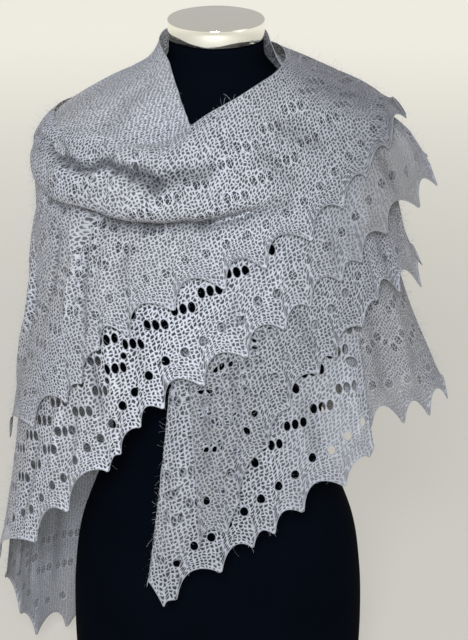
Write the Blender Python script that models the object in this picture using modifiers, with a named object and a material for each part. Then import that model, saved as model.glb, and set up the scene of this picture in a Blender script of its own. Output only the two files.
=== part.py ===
"""Scalloped lace shawl wound round a limbless dress form, in metres, +Z up, the front facing -Y.

The cloth is described on one drape surface, a stack of rounded rings round the form. A place on it
is an azimuth (0 in front, +90 on the +X side), a height, and a stand-off: how far the cloth lies
outside the rings. Each stretch of the shawl is a panel between a top edge and a toothed hem.
"""

import math

import bpy
import numpy as np

COLLECTION_NAME = "lace_shawl_on_dress_form"
MM = 0.001

# Cloth: a tooth's arch rises from its tip, is highest soon after it and ends at the next tip.
WALL = 1.8 * MM
TOOTH_DEPTH = 26 * MM
TOOTH_DEPTH_SHARE = 0.58
SCALLOP_LIFT = 3.0 * MM
ARCH_SKEW = 0.6
ARCH_FULLNESS = 0.75
SCALLOP_REACH = 0.14
TOOTH_COLUMNS = (0.0, 0.15, 0.6)
FLARE = 1.4

# Lace: rows of cells up from the hem, the second with single eyelets, the fourth with a zig-zag.
LACE_ROWS = (0.0, 37 * MM, 54 * MM, 78 * MM, 96 * MM)
PLAIN_ROW = 36 * MM
COLLAR_BAND = 24 * MM
EYELET_RADIUS = 5.0 * MM
ZIGZAG_RADIUS = 4.6 * MM
EYELET_SHARE = 0.34
EYELET_ROOM = 13 * MM
EYELET_CELLS = (1, 2)
ZIGZAG_CELLS = (1,)
EYELET_ROW = 1
ZIGZAG_ROW = 3
HALVES = (0.5, 1.0)
THIRDS = (0.33, 0.66, 1.0)
SHOULDER_ROWS = (0.3, 0.6, 0.85, 1.0)

# The two outer stretches are each in nodes side by side: first and last tooth of each, and a seam
# of so many teeth between them.
SEAM_STEP = 0.03
TOP_WRAP_NODES = {"top_wrap_left": (0, 7), "top_wrap": (7, 14), "top_wrap_back": (14, 20)}
SECOND_WRAP_NODES = {"second_wrap_left": (0, 11), "second_wrap": (11, 23)}

# Colours
CLOTH_GREY = (0.52, 0.53, 0.57)
FORM_BLACK = (0.012, 0.013, 0.018)
CHROME = (0.78, 0.77, 0.74)

# Dress form
CAP_RADIUS = 55.5 * MM
CAP_THICKNESS = 23 * MM
CAP_BEVEL = 2.5 * MM
CAP_TILT = math.radians(8)
CAP_GAP = 0.3 * MM
FORM_SEGMENTS = 28
RING_POWER = 2.3
NECK_TOP = 0.837
TILT_START = 0.79
CAP_SIDES = 36

FORM_COLUMNS = ("height", "side", "front", "back")
FORM_RINGS = (
    (0.000, 0.176, 0.112, 0.118),
    (0.065, 0.179, 0.117, 0.125),
    (0.119, 0.1804, 0.118, 0.127),
    (0.185, 0.178, 0.116, 0.124),
    (0.245, 0.169, 0.110, 0.116),
    (0.300, 0.149, 0.101, 0.102),
    (0.350, 0.130, 0.094, 0.091),
    (0.395, 0.128, 0.095, 0.088),
    (0.455, 0.139, 0.107, 0.093),
    (0.519, 0.152, 0.122, 0.098),
    (0.580, 0.158, 0.120, 0.103),
    (0.640, 0.171, 0.104, 0.106),
    (0.690, 0.188, 0.092, 0.105),
    (0.722, 0.190, 0.086, 0.100),
    (0.744, 0.176, 0.081, 0.095),
    (0.765, 0.142, 0.074, 0.087),
    (0.784, 0.104, 0.067, 0.077),
    (0.799, 0.074, 0.061, 0.067),
    (0.815, 0.058, 0.057, 0.060),
    (NECK_TOP, 0.0545, 0.0545, 0.0545),
)

DRAPE_COLUMNS = ("height", "left", "right", "front", "back")
DRAPE_RINGS = (
    (0.000, 0.260, 0.262, 0.160, 0.168),
    (0.119, 0.256, 0.262, 0.158, 0.164),
    (0.219, 0.248, 0.262, 0.153, 0.156),
    (0.319, 0.236, 0.262, 0.149, 0.148),
    (0.389, 0.229, 0.258, 0.147, 0.142),
    (0.449, 0.221, 0.246, 0.146, 0.136),
    (0.519, 0.210, 0.226, 0.146, 0.130),
    (0.579, 0.202, 0.212, 0.144, 0.127),
    (0.639, 0.198, 0.206, 0.137, 0.125),
    (0.689, 0.199, 0.205, 0.126, 0.121),
    (0.719, 0.198, 0.202, 0.116, 0.117),
    (0.739, 0.188, 0.190, 0.108, 0.112),
    (0.759, 0.167, 0.164, 0.099, 0.106),
    (0.779, 0.137, 0.132, 0.089, 0.098),
    (0.797, 0.106, 0.102, 0.078, 0.088),
    (0.815, 0.076, 0.074, 0.067, 0.076),
    (0.831, 0.065, 0.064, 0.062, 0.067),
    (0.848, 0.061, 0.061, 0.060, 0.063),
)

# Panels: a row for each tooth of the hem, from the left round to the right. Azimuths in degrees,
# heights in metres, stand-offs, rolls and fold depths in millimetres. A crease is the share of the
# way down from the top edge at which the cowl's roll ends; a fold is a soft trough across the roll.
PANEL_COLUMNS = (
    "top_azimuth", "top_height", "top_out", "hem_azimuth", "hem_height", "hem_out",
    "crease", "roll", "fold_place", "fold_depth",
)
PLAIN = (0, 0, 0, 0)
TOP_WRAP = (
    (-118, 0.752, 14, -114, 0.356, 17, 0.14, 2, 0, 0),
    (-104, 0.750, 13, -100, 0.352, 16, 0.14, 2, 0, 0),
    (-88, 0.747, 12, -85, 0.356, 16, 0.15, 3, 0, 2),
    (-72, 0.742, 12.4, -66, 0.401, 20, 0.20, 8, 0.10, 5),
    (-62, 0.739, 18, -54, 0.443, 23, 0.25, 13, 0.20, 7),
    (-54, 0.737, 19, -49, 0.470, 24, 0.28, 17, 0.30, 7),
    (-47, 0.734, 22, -43, 0.512, 25, 0.34, 20, 0.40, 7),
    (-38, 0.729, 24, -33, 0.532, 25, 0.39, 22, 0.52, 6),
    (-24, 0.736, 25, -16, 0.563, 25, 0.49, 22, 0.66, 4),
    (-5, 0.760, 25, 4.5, 0.586, 25, 0.60, 16, 0.72, 2),
    (14, 0.776, 22, 21, 0.607, 24, 0.65, 8, 0.72, 0),
    (34, 0.792, 17, 38.5, 0.634, 22, 0.66, 3, 0.72, 0),
    (56, 0.806, 11, 50.5, 0.666, 20, 0.64, 1, 0.72, 0),
    (76, 0.813, 8, 60.5, 0.695, 18, 0.60, 0, 0.72, 0),
    (94, 0.816, 8, 70.5, 0.718, 21, 0.55, 0, 0.72, 0),
    (112, 0.818, 9, 84, 0.733, 28, 0.50, 0, 0.72, 0),
    (126, 0.818, 11, 98, 0.727, 30, 0.50, 0, 0.72, 0),
    (140, 0.818, 13, 112, 0.690, 30, 0.50, 0, 0.72, 0),
    (152, 0.815, 16, 126, 0.630, 27, 0.50, 0, 0.72, 0),
    (162, 0.810, 17, 140, 0.560, 27, 0.50, 0, 0.72, 0),
    (172, 0.806, 18, 153, 0.490, 27, 0.50, 0, 0.72, 0),
)
SECOND_WRAP = (
    (-158, 0.520, 6, -158, 0.430, 7.8, *PLAIN),
    (-144, 0.515, 6, -144, 0.350, 9, *PLAIN),
    (-130, 0.505, 6, -129, 0.270, 12, *PLAIN),
    (-114, 0.500, 6, -113, 0.210, 14, *PLAIN),
    (-99, 0.500, 7, -99, 0.196, 16, *PLAIN),
    (-85, 0.500, 8, -85, 0.193, 17, *PLAIN),
    (-69, 0.520, 11, -64, 0.261, 17, *PLAIN),
    (-59, 0.545, 14, -54, 0.310, 16, *PLAIN),
    (-48, 0.595, 17, -41, 0.367, 16, *PLAIN),
    (-43, 0.605, 17, -37, 0.389, 16, *PLAIN),
    (-36, 0.615, 17, -30, 0.423, 16, *PLAIN),
    (-27, 0.622, 17, -21, 0.447, 17, *PLAIN),
    (-12, 0.640, 17, -4.5, 0.475, 17, *PLAIN),
    (6, 0.660, 17, 13.5, 0.508, 17, *PLAIN),
    (22, 0.680, 16, 28, 0.538, 17, *PLAIN),
    (33, 0.700, 15, 37, 0.562, 17, *PLAIN),
    (44, 0.720, 12, 48, 0.585, 16, *PLAIN),
    (52, 0.738, 9, 55, 0.604, 18, *PLAIN),
    (62, 0.752, 9, 64, 0.632, 24, *PLAIN),
    (76, 0.758, 7.5, 78, 0.651, 34, *PLAIN),
    (88, 0.760, 6, 88, 0.668, 50, *PLAIN),
    (98, 0.760, 6, 97, 0.690, 46, *PLAIN),
    (112, 0.758, 7, 112, 0.676, 24, *PLAIN),
    (126, 0.756, 8, 127, 0.670, 15, *PLAIN),
)
FRONT_PLEAT = (
    (-12, 0.500, 7, -7, 0.274, 9.4, *PLAIN),
    (-5, 0.530, 9, 5, 0.296, 11, *PLAIN),
    (2, 0.560, 10, 10, 0.334, 12, *PLAIN),
    (10, 0.590, 11, 22, 0.402, 12, *PLAIN),
    (20, 0.610, 11, 30, 0.446, 12, *PLAIN),
    (31, 0.630, 11, 40, 0.483, 12, *PLAIN),
    (38, 0.645, 10, 46, 0.500, 12, *PLAIN),
    (49, 0.665, 8, 55, 0.530, 12, *PLAIN),
    (58, 0.680, 5, 61, 0.556, 11, *PLAIN),
)
FRONT_END = (
    (-7, 0.520, -6, -12, 0.236, -3, *PLAIN),
    (-15, 0.522, -6, -23, 0.240, -4.5, *PLAIN),
    (-17.8, 0.525, -1.5, -28.5, 0.222, 1.5, *PLAIN),
    (-13, 0.530, 3, -21.5, 0.201, 7.5, *PLAIN),
    (-8, 0.535, 3.4, -16.5, 0.211, 7, *PLAIN),
    (4, 0.560, 4, 2.5, 0.246, 7, *PLAIN),
    (14, 0.578, 4, 16, 0.276, 7, *PLAIN),
    (21, 0.590, 4, 24.5, 0.292, 7, *PLAIN),
    (29, 0.600, 4, 35, 0.317, 7, *PLAIN),
    (42, 0.612, 3, 48.5, 0.344, 7, *PLAIN),
    (53, 0.615, 1, 56, 0.374, 5, *PLAIN),
    (54.5, 0.612, -3, 57.5, 0.388, 0, *PLAIN),
)
BACK_LOWER = (
    (52, 0.600, -7, 50, 0.430, -7, *PLAIN),
    (60, 0.604, -6, 58, 0.406, -5, *PLAIN),
    (70, 0.607, -3, 68, 0.402, 0, *PLAIN),
    (78, 0.608, -2, 77, 0.400, 8, *PLAIN),
    (89, 0.608, -1, 88, 0.401, 20, *PLAIN),
    (104, 0.603, 0, 103, 0.385, 12, *PLAIN),
    (119, 0.592, 2, 118, 0.360, 8, *PLAIN),
    (134, 0.580, 4, 134, 0.325, 6, *PLAIN),
    (149, 0.567, 6.2, 150, 0.280, 5, *PLAIN),
    (165, 0.552, 6.2, 166, 0.230, 4, *PLAIN),
    (181, 0.538, 4, 182, 0.175, 4, *PLAIN),
    (197, 0.524, 2, 198, 0.120, 4, *PLAIN),
    (212, 0.512, 0, 213, 0.070, 4, *PLAIN),
    (226, 0.502, 0, 227, 0.036, 4, *PLAIN),
    (239, 0.495, 0, 239, 0.026, 4, *PLAIN),
    (251, 0.492, 0, 250, 0.034, 5, *PLAIN),
    (262, 0.490, 0, 258, 0.084, 7, *PLAIN),
    (274, 0.490, 0, 271, 0.165, 9, *PLAIN),
)
BACK_UPPER = (
    (58.2, 0.680, 5, 61.2, 0.556, 11, *PLAIN),
    (68, 0.695, 1, 70, 0.556, 15, *PLAIN),
    (82, 0.715, -3, 83, 0.545, 22, *PLAIN),
    (92, 0.728, -7.4, 92, 0.560, 27, *PLAIN),
    (107, 0.738, -8.8, 106, 0.548, 16, *PLAIN),
    (122, 0.750, -2, 121, 0.530, 12, *PLAIN),
    (138, 0.769, 4, 137, 0.508, 11, *PLAIN),
    (154, 0.785, 6, 153, 0.484, 10, *PLAIN),
    (170, 0.789, 7, 170, 0.458, 10, *PLAIN),
    (187, 0.787, 8, 187, 0.432, 11, *PLAIN),
    (204, 0.778, 9, 204, 0.405, 13, *PLAIN),
    (219, 0.766, 11, 219, 0.380, 15, *PLAIN),
    (232, 0.756, 13, 232, 0.364, 16, *PLAIN),
    (241.8, 0.752, 14, 245.8, 0.356, 17, *PLAIN),
)
COLLAR = (
    (-13, 0.744, 12, -17, 0.712, 12, *PLAIN),
    (-19, 0.766, 10, -25, 0.705, 12, *PLAIN),
    (-29, 0.793, 7, -36, 0.703, 12, *PLAIN),
    (-44, 0.817, 5, -50, 0.703, 12, *PLAIN),
    (-64, 0.832, 4, -68, 0.704, 11, *PLAIN),
    (-88, 0.840, 1, -88, 0.706, 9, *PLAIN),
    (-112, 0.845, -2, -112, 0.710, 6, *PLAIN),
    (-145, 0.848, -6, -145, 0.722, 0, *PLAIN),
    (-180, 0.849, -7.2, -180, 0.735, -1, *PLAIN),
    (-215, 0.848, -6.5, -212, 0.750, -1, *PLAIN),
    (-245, 0.845, -4, -240, 0.768, -1, *PLAIN),
    (-268, 0.838, -2, -266, 0.774, 0, *PLAIN),
    (-288, 0.822, 1, -288, 0.772, 1, *PLAIN),
    (-304, 0.800, 3, -306, 0.760, 3, *PLAIN),
)

# Gentle flutes of the hanging cloth: where their crests lie, how wide and how deep at the floor.
FLUTE_COLUMNS = ("azimuth", "half_width", "depth")
FLUTES = (
    (-150, 13, 7),
    (-118, 11, 8),
    (-88, 10, 5),
    (96, 12, 6),
    (130, 13, 8),
    (164, 13, 6),
    (196, 14, 8),
)
FLUTE_START = 0.66

# The cowl's section above the crease, from its top edge down: share of the way, share of the roll.
COWL_COLUMNS = ("down", "out")
COWL_SECTION = (
    (0.00, -0.25),
    (0.12, 0.35),
    (0.30, 0.75),
    (0.50, 0.95),
    (0.72, 1.10),
    (0.88, 1.05),
    (0.96, 0.75),
    (1.00, 0.05),
)
COWL_ROWS = (0.0, 0.05, 0.14, 0.28, 0.42, 0.56, 0.72, 0.88, 1.0)
FOLD_WIDTH = 0.16


def column(rows, names, name):
    """One named column of a table as an array."""
    return np.array([row[names.index(name)] for row in rows], float)


def smooth(places, values, at):
    """A smooth curve through the rows of a table, read at one or many places."""
    at = np.clip(at, places[0], places[-1])
    i = np.clip(np.searchsorted(places, at, side="right") - 1, 0, len(places) - 2)
    slope = np.gradient(values, places)
    step = places[i + 1] - places[i]
    t = (at - places[i]) / step
    start = (2 * t**3 - 3 * t**2 + 1) * values[i] + (t**3 - 2 * t**2 + t) * step * slope[i]
    end = (3 * t**2 - 2 * t**3) * values[i + 1] + (t**3 - t**2) * step * slope[i + 1]
    return start + end


def rounded_radius(azimuth, side, depth):
    """Radius of a rounded ring at an azimuth, from its half width and its depth."""
    across = np.abs(np.sin(azimuth) / side) ** RING_POWER
    along = np.abs(np.cos(azimuth) / depth) ** RING_POWER
    return (across + along) ** (-1 / RING_POWER)


def flute_depth(azimuth, height):
    """How far the hanging folds stand out, deeper towards the floor."""
    share = np.clip((FLUTE_START - height) / FLUTE_START, 0, 1)
    total = 0.0
    for crest, half_width, depth in FLUTES:
        turn = (np.degrees(azimuth) - crest + 180) % 360 - 180
        total = total + depth * MM * np.exp(-((turn / half_width) ** 2))
    return total * share


def ring_stack_point(azimuth, height):
    """A point on the drape surface."""
    heights = column(DRAPE_RINGS, DRAPE_COLUMNS, "height")
    left, right, front, back = (
        smooth(heights, column(DRAPE_RINGS, DRAPE_COLUMNS, name), height)
        for name in ("left", "right", "front", "back")
    )
    side = np.where(np.sin(azimuth) < 0, left, right)
    depth = np.where(np.cos(azimuth) > 0, front, back)
    radius = rounded_radius(azimuth, side, depth) + flute_depth(azimuth, height)
    return np.stack([radius * np.sin(azimuth), -radius * np.cos(azimuth), height], -1)


def drape_point(azimuth, height, out):
    """A point that stands off the drape surface along its normal."""
    azimuth, height, out = np.broadcast_arrays(azimuth, height, out)
    tiny = 1e-4
    along = ring_stack_point(azimuth + tiny, height) - ring_stack_point(azimuth - tiny, height)
    upward = ring_stack_point(azimuth, height + tiny) - ring_stack_point(azimuth, height - tiny)
    normal = np.cross(along, upward)
    normal = normal / np.linalg.norm(normal, axis=-1, keepdims=True)
    return ring_stack_point(azimuth, height) + normal * out[..., None]


class Panel:
    """A stretch of cloth between a top edge and a hem. Its table has a row for each tooth, and a
    place along the hem is counted in teeth from the first row."""

    def __init__(self, rows, toothed=True):
        self.toothed = toothed
        self.values = {name: column(rows, PANEL_COLUMNS, name) for name in PANEL_COLUMNS}
        for name in ("top_azimuth", "hem_azimuth"):
            self.values[name] = np.radians(self.values[name])
        for name in ("top_out", "hem_out", "roll", "fold_depth"):
            self.values[name] = self.values[name] * MM
        self.teeth = len(rows) - 1
        tips = drape_point(*(self.values["hem_" + name] for name in ("azimuth", "height", "out")))
        spans = np.linalg.norm(np.diff(tips[:, :2], axis=0), axis=1)
        self.depths = np.minimum(TOOTH_DEPTH, TOOTH_DEPTH_SHARE * spans)

    def at(self, name, place):
        return smooth(np.arange(self.teeth + 1.0), self.values[name], place)

    def scallop(self, place):
        """0 at a tooth's tip and 1 at the top of the arch beside it."""
        part = place % 1.0
        return np.sin(math.pi * part**ARCH_SKEW) ** ARCH_FULLNESS if self.toothed else 0.0 * part

    def tooth_depth(self, place):
        """How far a tooth reaches below its arch: less where the teeth are crowded."""
        return self.depths[np.clip(place.astype(int), 0, self.teeth - 1)]

    def grid(self, places, below, above):
        """Points at places along the hem, in rows: so many metres up from the hem below the
        crease, and shares of the way from the crease to the top edge above it."""
        top = np.stack([self.at("top_azimuth", places), self.at("top_height", places)], -1)
        hem = np.stack([self.at("hem_azimuth", places), self.at("hem_height", places)], -1)
        crease = np.clip(self.at("crease", places), 0, 1)
        roll = self.at("roll", places)
        fold_place, fold_depth = self.at("fold_place", places), self.at("fold_depth", places)
        top_out, hem_out = self.at("top_out", places), self.at("hem_out", places)
        top_line = drape_point(top[:, 0], top[:, 1], top_out)
        hem_line = drape_point(hem[:, 0], hem[:, 1], hem_out)
        length = np.linalg.norm(top_line - hem_line, axis=1)
        room = (1 - crease) * length
        squeeze = np.minimum(1.0, room / (below[-1] * 1.05))
        arch = self.scallop(places)
        depth = self.tooth_depth(places)
        start = np.where(crease > 0, crease, 1 - below[-1] * squeeze / length)
        lines = []
        for distance in below:
            near_hem = np.clip(1 - distance * squeeze / np.minimum(room, SCALLOP_REACH), 0, 1)
            rise = distance * squeeze + depth * squeeze * arch * near_hem**3
            down = 1 - rise / length
            out = top_out + (hem_out - top_out) * down**FLARE + SCALLOP_LIFT * arch * near_hem**3
            lines.append(self.line(top, hem, down, out))
        for share in above:
            down = start * (1 - share)
            trough = fold_depth * np.exp(-(((1 - share - fold_place) / FOLD_WIDTH) ** 2))
            out = top_out + (hem_out - top_out) * down**FLARE + roll * cowl_share(1 - share) - trough
            lines.append(self.line(top, hem, down, out))
        return np.stack(lines, 1)

    def line(self, top, hem, down, out):
        way = top + (hem - top) * down[:, None]
        return drape_point(way[:, 0], way[:, 1], out)


def cowl_share(down):
    """The roll's share of its full stand-off, part of the way down from the top edge."""
    places = column(COWL_SECTION, COWL_COLUMNS, "down")
    return smooth(places, column(COWL_SECTION, COWL_COLUMNS, "out"), down)


def link_mesh(name, points, faces, colour, roughness, metallic=0.0):
    mesh = bpy.data.meshes.new(name)
    mesh.from_pydata([tuple(p) for p in points], [], faces)
    mesh.update()
    return link(name, mesh, colour, roughness, metallic)


def link(name, mesh, colour, roughness, metallic=0.0):
    """Adds a named object with its own material to the model's collection."""
    material = bpy.data.materials.new(name)
    material.use_nodes = True
    shader = material.node_tree.nodes["Principled BSDF"]
    shader.inputs["Base Color"].default_value = (*colour, 1)
    shader.inputs["Roughness"].default_value = roughness
    shader.inputs["Metallic"].default_value = metallic
    mesh.materials.append(material)
    obj = bpy.data.objects.new(name, mesh)
    bpy.data.collections[COLLECTION_NAME].objects.link(obj)
    return obj


def cell_room(square):
    """How wide a cell is, measured square to its sides."""
    across = (square[1] + square[2] - square[0] - square[3]) / 2
    upward = (square[2] + square[3] - square[0] - square[1]) / 2
    return np.linalg.norm(np.cross(across, upward)) / np.linalg.norm(upward)


def eyelet_cell(corners, radius, points):
    """Faces of one cell round a six-sided hole, whose points are added to the list."""
    square = np.array([points[c] for c in corners])
    middle = square.mean(axis=0)
    across = (square[1] + square[2] - square[0] - square[3]) / 2
    upward = (square[2] + square[3] - square[0] - square[1]) / 2
    wide, tall = np.linalg.norm(across), np.linalg.norm(upward)
    half_wide, half_tall = min(radius, EYELET_SHARE * wide), min(radius, EYELET_SHARE * tall)
    start = len(points)
    for turn in (math.pi * (k + 0.5) / 3 for k in range(6)):
        points.append(
            middle
            + across / wide * half_wide * math.cos(turn)
            + upward / tall * half_tall * math.sin(turn)
        )
    upper_right, top, upper_left, lower_left, bottom, lower_right = range(start, start + 6)
    a, b, c, d = corners
    return [
        [b, c, upper_right, lower_right],
        [c, top, upper_right],
        [c, d, top],
        [d, upper_left, top],
        [d, a, lower_left, upper_left],
        [a, bottom, lower_left],
        [a, b, bottom],
        [b, lower_right, bottom],
    ]


def cloth_panel(
    name, panel, below, above, eyelets=EYELET_CELLS, zigzag=ZIGZAG_CELLS, first=0, last=None
):
    """One stretch of cloth from its first to its last tooth: an open grid of faces with its
    eyelets, given its thickness."""
    columns = len(TOOTH_COLUMNS)
    last = last or panel.teeth
    end = last if last == panel.teeth else last - SEAM_STEP
    places = [tooth + part for tooth in range(first, last) for part in TOOTH_COLUMNS]
    grid = panel.grid(np.array([*places, end], float), below, above)
    across, tall = grid.shape[:2]
    points = [p for line in grid for p in line]
    faces = []
    for i in range(across - 1):
        for j in range(tall - 1):
            low, high = i * tall + j, (i + 1) * tall + j
            corners = [low, high, high + 1, low + 1]
            roomy = cell_room([points[c] for c in corners]) > EYELET_ROOM
            if roomy and j == EYELET_ROW and i % columns in eyelets:
                faces += eyelet_cell(corners, EYELET_RADIUS, points)
            elif roomy and j == ZIGZAG_ROW and i % columns in zigzag:
                faces += eyelet_cell(corners, ZIGZAG_RADIUS, points)
            else:
                faces.append(corners)
    obj = link_mesh(name, points, faces, CLOTH_GREY, 0.85)
    solidify = obj.modifiers.new("wall", "SOLIDIFY")
    solidify.thickness = WALL
    solidify.offset = 0


def build_form():
    """The torso: a stack of rounded rings, closed flat below and level with the cap above."""
    turns = np.linspace(0, 2 * math.pi, FORM_SEGMENTS, endpoint=False)
    points = []
    for height, side, front, back in FORM_RINGS:
        tilt_share = max(0.0, (height - TILT_START) / (NECK_TOP - TILT_START))
        radius = rounded_radius(turns, side, np.where(np.cos(turns) > 0, front, back))
        for turn, reach in zip(turns, radius):
            x, y = reach * math.sin(turn), -reach * math.cos(turn)
            points.append((x, y, height + tilt_share * y * math.tan(CAP_TILT)))
    faces = [list(range(FORM_SEGMENTS))[::-1]]
    for ring in range(len(FORM_RINGS) - 1):
        for k in range(FORM_SEGMENTS):
            here, beside = ring * FORM_SEGMENTS + k, ring * FORM_SEGMENTS + (k + 1) % FORM_SEGMENTS
            faces.append([here, beside, beside + FORM_SEGMENTS, here + FORM_SEGMENTS])
    faces.append([len(points) - FORM_SEGMENTS + k for k in range(FORM_SEGMENTS)])
    link_mesh("form_torso", points, faces, FORM_BLACK, 0.9)


def build_cap():
    """The chrome neck cap, tilted forward with the neck."""
    lift = CAP_GAP + CAP_THICKNESS / 2
    bpy.ops.mesh.primitive_cylinder_add(
        vertices=CAP_SIDES,
        radius=CAP_RADIUS,
        depth=CAP_THICKNESS,
        location=(0, -lift * math.sin(CAP_TILT), NECK_TOP + lift * math.cos(CAP_TILT)),
        rotation=(CAP_TILT, 0, 0),
    )
    made = bpy.context.active_object
    mesh = made.data
    matrix = made.matrix_world.copy()
    bpy.data.objects.remove(made)
    obj = link("neck_cap", mesh, CHROME, 0.12, 1.0)
    obj.matrix_world = matrix
    bevel = obj.modifiers.new("rounded_rim", "BEVEL")
    bevel.width = CAP_BEVEL
    bevel.segments = 2
    bevel.limit_method = "ANGLE"


def build_shawl():
    """The stretches of the shawl, from the innermost outwards."""
    long_rows = (*LACE_ROWS, LACE_ROWS[-1] + PLAIN_ROW, LACE_ROWS[-1] + 2 * PLAIN_ROW)
    back_rows = (*LACE_ROWS[:3], LACE_ROWS[2] + PLAIN_ROW)
    collar_rows = (0.0, COLLAR_BAND)
    cloth_panel("back_lower", Panel(BACK_LOWER), back_rows, THIRDS, EYELET_CELLS[1:], ())
    cloth_panel("back_upper", Panel(BACK_UPPER), back_rows, SHOULDER_ROWS, EYELET_CELLS[1:], ())
    cloth_panel("collar", Panel(COLLAR, toothed=False), collar_rows, THIRDS, (), ())
    cloth_panel("front_end", Panel(FRONT_END), long_rows, HALVES)
    cloth_panel("front_pleat", Panel(FRONT_PLEAT), LACE_ROWS, HALVES)
    for name, (first, last) in SECOND_WRAP_NODES.items():
        cloth_panel(name, Panel(SECOND_WRAP), LACE_ROWS, HALVES, first=first, last=last)
    for name, (first, last) in TOP_WRAP_NODES.items():
        cloth_panel(
            name, Panel(TOP_WRAP), LACE_ROWS[:4], COWL_ROWS, zigzag=(), first=first, last=last
        )


def main():
    for obj in list(bpy.data.objects):
        bpy.data.objects.remove(obj)
    collection = bpy.data.collections.new(COLLECTION_NAME)
    bpy.context.scene.collection.children.link(collection)
    build_form()
    build_cap()
    build_shawl()


main()
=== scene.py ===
import math

import bpy
import numpy as np
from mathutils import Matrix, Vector
from mathutils.geometry import delaunay_2d_cdt


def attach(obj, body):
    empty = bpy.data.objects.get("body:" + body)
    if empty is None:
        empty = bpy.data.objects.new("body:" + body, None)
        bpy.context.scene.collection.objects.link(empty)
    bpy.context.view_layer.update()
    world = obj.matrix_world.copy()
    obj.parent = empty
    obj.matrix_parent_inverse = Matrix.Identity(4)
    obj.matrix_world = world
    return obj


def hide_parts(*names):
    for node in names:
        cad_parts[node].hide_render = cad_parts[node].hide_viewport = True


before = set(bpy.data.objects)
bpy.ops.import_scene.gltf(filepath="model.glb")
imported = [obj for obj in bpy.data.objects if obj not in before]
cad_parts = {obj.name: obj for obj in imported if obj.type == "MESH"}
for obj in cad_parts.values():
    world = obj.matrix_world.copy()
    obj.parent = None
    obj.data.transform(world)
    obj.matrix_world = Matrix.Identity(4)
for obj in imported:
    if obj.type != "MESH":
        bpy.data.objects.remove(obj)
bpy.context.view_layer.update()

bl_info = {
    "name": "Lace shawl on a dress form",
    "version": (1, 0, 0),
    "blender": (4, 5, 0),
    "location": "View3D > Sidebar > Shawl",
    "description": "Scalloped mohair lace wound round a limbless dress form with a chrome neck cap",
    "category": "Object",
}

MM = 0.001
BODY = "root"
CHART = "chart"
KNIT = "knit"

# The drape surface: rounded rings round the form, on which every stretch of cloth is described.
# A place on it is an azimuth (0 in front, +90 on the +X side), a height, and a stand-off.
RING_POWER = 2.3
DRAPE_COLUMNS = ("height", "left", "right", "front", "back")
DRAPE_RINGS = (
    (0.000, 0.260, 0.262, 0.160, 0.168),
    (0.119, 0.256, 0.262, 0.158, 0.164),
    (0.219, 0.248, 0.262, 0.153, 0.156),
    (0.319, 0.236, 0.262, 0.149, 0.148),
    (0.389, 0.229, 0.258, 0.147, 0.142),
    (0.449, 0.221, 0.246, 0.146, 0.136),
    (0.519, 0.210, 0.226, 0.146, 0.130),
    (0.579, 0.202, 0.212, 0.144, 0.127),
    (0.639, 0.198, 0.206, 0.137, 0.125),
    (0.689, 0.199, 0.205, 0.126, 0.121),
    (0.719, 0.198, 0.202, 0.116, 0.117),
    (0.739, 0.188, 0.190, 0.108, 0.112),
    (0.759, 0.167, 0.164, 0.099, 0.106),
    (0.779, 0.137, 0.132, 0.089, 0.098),
    (0.797, 0.106, 0.102, 0.078, 0.088),
    (0.815, 0.076, 0.074, 0.067, 0.076),
    (0.831, 0.065, 0.064, 0.062, 0.067),
    (0.848, 0.061, 0.061, 0.060, 0.063),
)

# Gentle flutes of the hanging cloth: where their crests lie, how wide and how deep at the floor.
FLUTES = (
    (-150, 13, 7),
    (-118, 11, 8),
    (-88, 10, 5),
    (96, 12, 6),
    (130, 13, 8),
    (164, 13, 6),
    (196, 14, 8),
)
FLUTE_START = 0.66

# Stretches: a row for each tooth of the hem, from the left round to the right. Azimuths in degrees,
# heights in metres, stand-offs, rolls and fold depths in millimetres. A crease is the share of the
# way down from the top edge at which the cowl's roll ends; a fold is a soft trough across the roll.
# A row may leave out the last four, which are then nought.
STRETCH_COLUMNS = (
    "top_azimuth", "top_height", "top_out", "hem_azimuth", "hem_height", "hem_out",
    "crease", "roll", "fold_place", "fold_depth",
)
PLAIN = (0, 0, 0, 0)
TOP_WRAP = (
    (-118, 0.752, 14, -114, 0.356, 17, 0.14, 2, 0, 0),
    (-104, 0.750, 13, -100, 0.352, 16, 0.14, 2, 0, 0),
    (-88, 0.747, 12, -85, 0.356, 16, 0.15, 3, 0, 2),
    (-72, 0.742, 12.4, -66, 0.401, 20, 0.20, 8, 0.10, 5),
    (-62, 0.739, 18, -54, 0.443, 23, 0.25, 13, 0.20, 7),
    (-54, 0.737, 19, -49, 0.470, 24, 0.28, 17, 0.30, 7),
    (-47, 0.734, 22, -43, 0.512, 25, 0.34, 20, 0.40, 7),
    (-38, 0.729, 24, -33, 0.532, 25, 0.39, 22, 0.52, 6),
    (-24, 0.736, 25, -16, 0.563, 25, 0.49, 22, 0.66, 4),
    (-5, 0.760, 25, 4.5, 0.586, 25, 0.60, 16, 0.72, 2),
    (14, 0.776, 22, 21, 0.607, 24, 0.65, 8, 0.72, 0),
    (34, 0.792, 17, 38.5, 0.634, 22, 0.66, 3, 0.72, 0),
    (56, 0.806, 11, 50.5, 0.666, 20, 0.64, 1, 0.72, 0),
    (76, 0.813, 8, 60.5, 0.695, 18, 0.60, 0, 0.72, 0),
    (94, 0.816, 8, 70.5, 0.718, 21, 0.55, 0, 0.72, 0),
    (112, 0.818, 9, 84, 0.733, 28, 0.50, 0, 0.72, 0),
    (126, 0.818, 11, 98, 0.727, 30, 0.50, 0, 0.72, 0),
    (140, 0.818, 13, 112, 0.690, 30, 0.50, 0, 0.72, 0),
    (152, 0.815, 16, 126, 0.630, 27, 0.50, 0, 0.72, 0),
    (162, 0.810, 17, 140, 0.560, 27, 0.50, 0, 0.72, 0),
    (172, 0.806, 18, 153, 0.490, 27, 0.50, 0, 0.72, 0),
)
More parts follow.
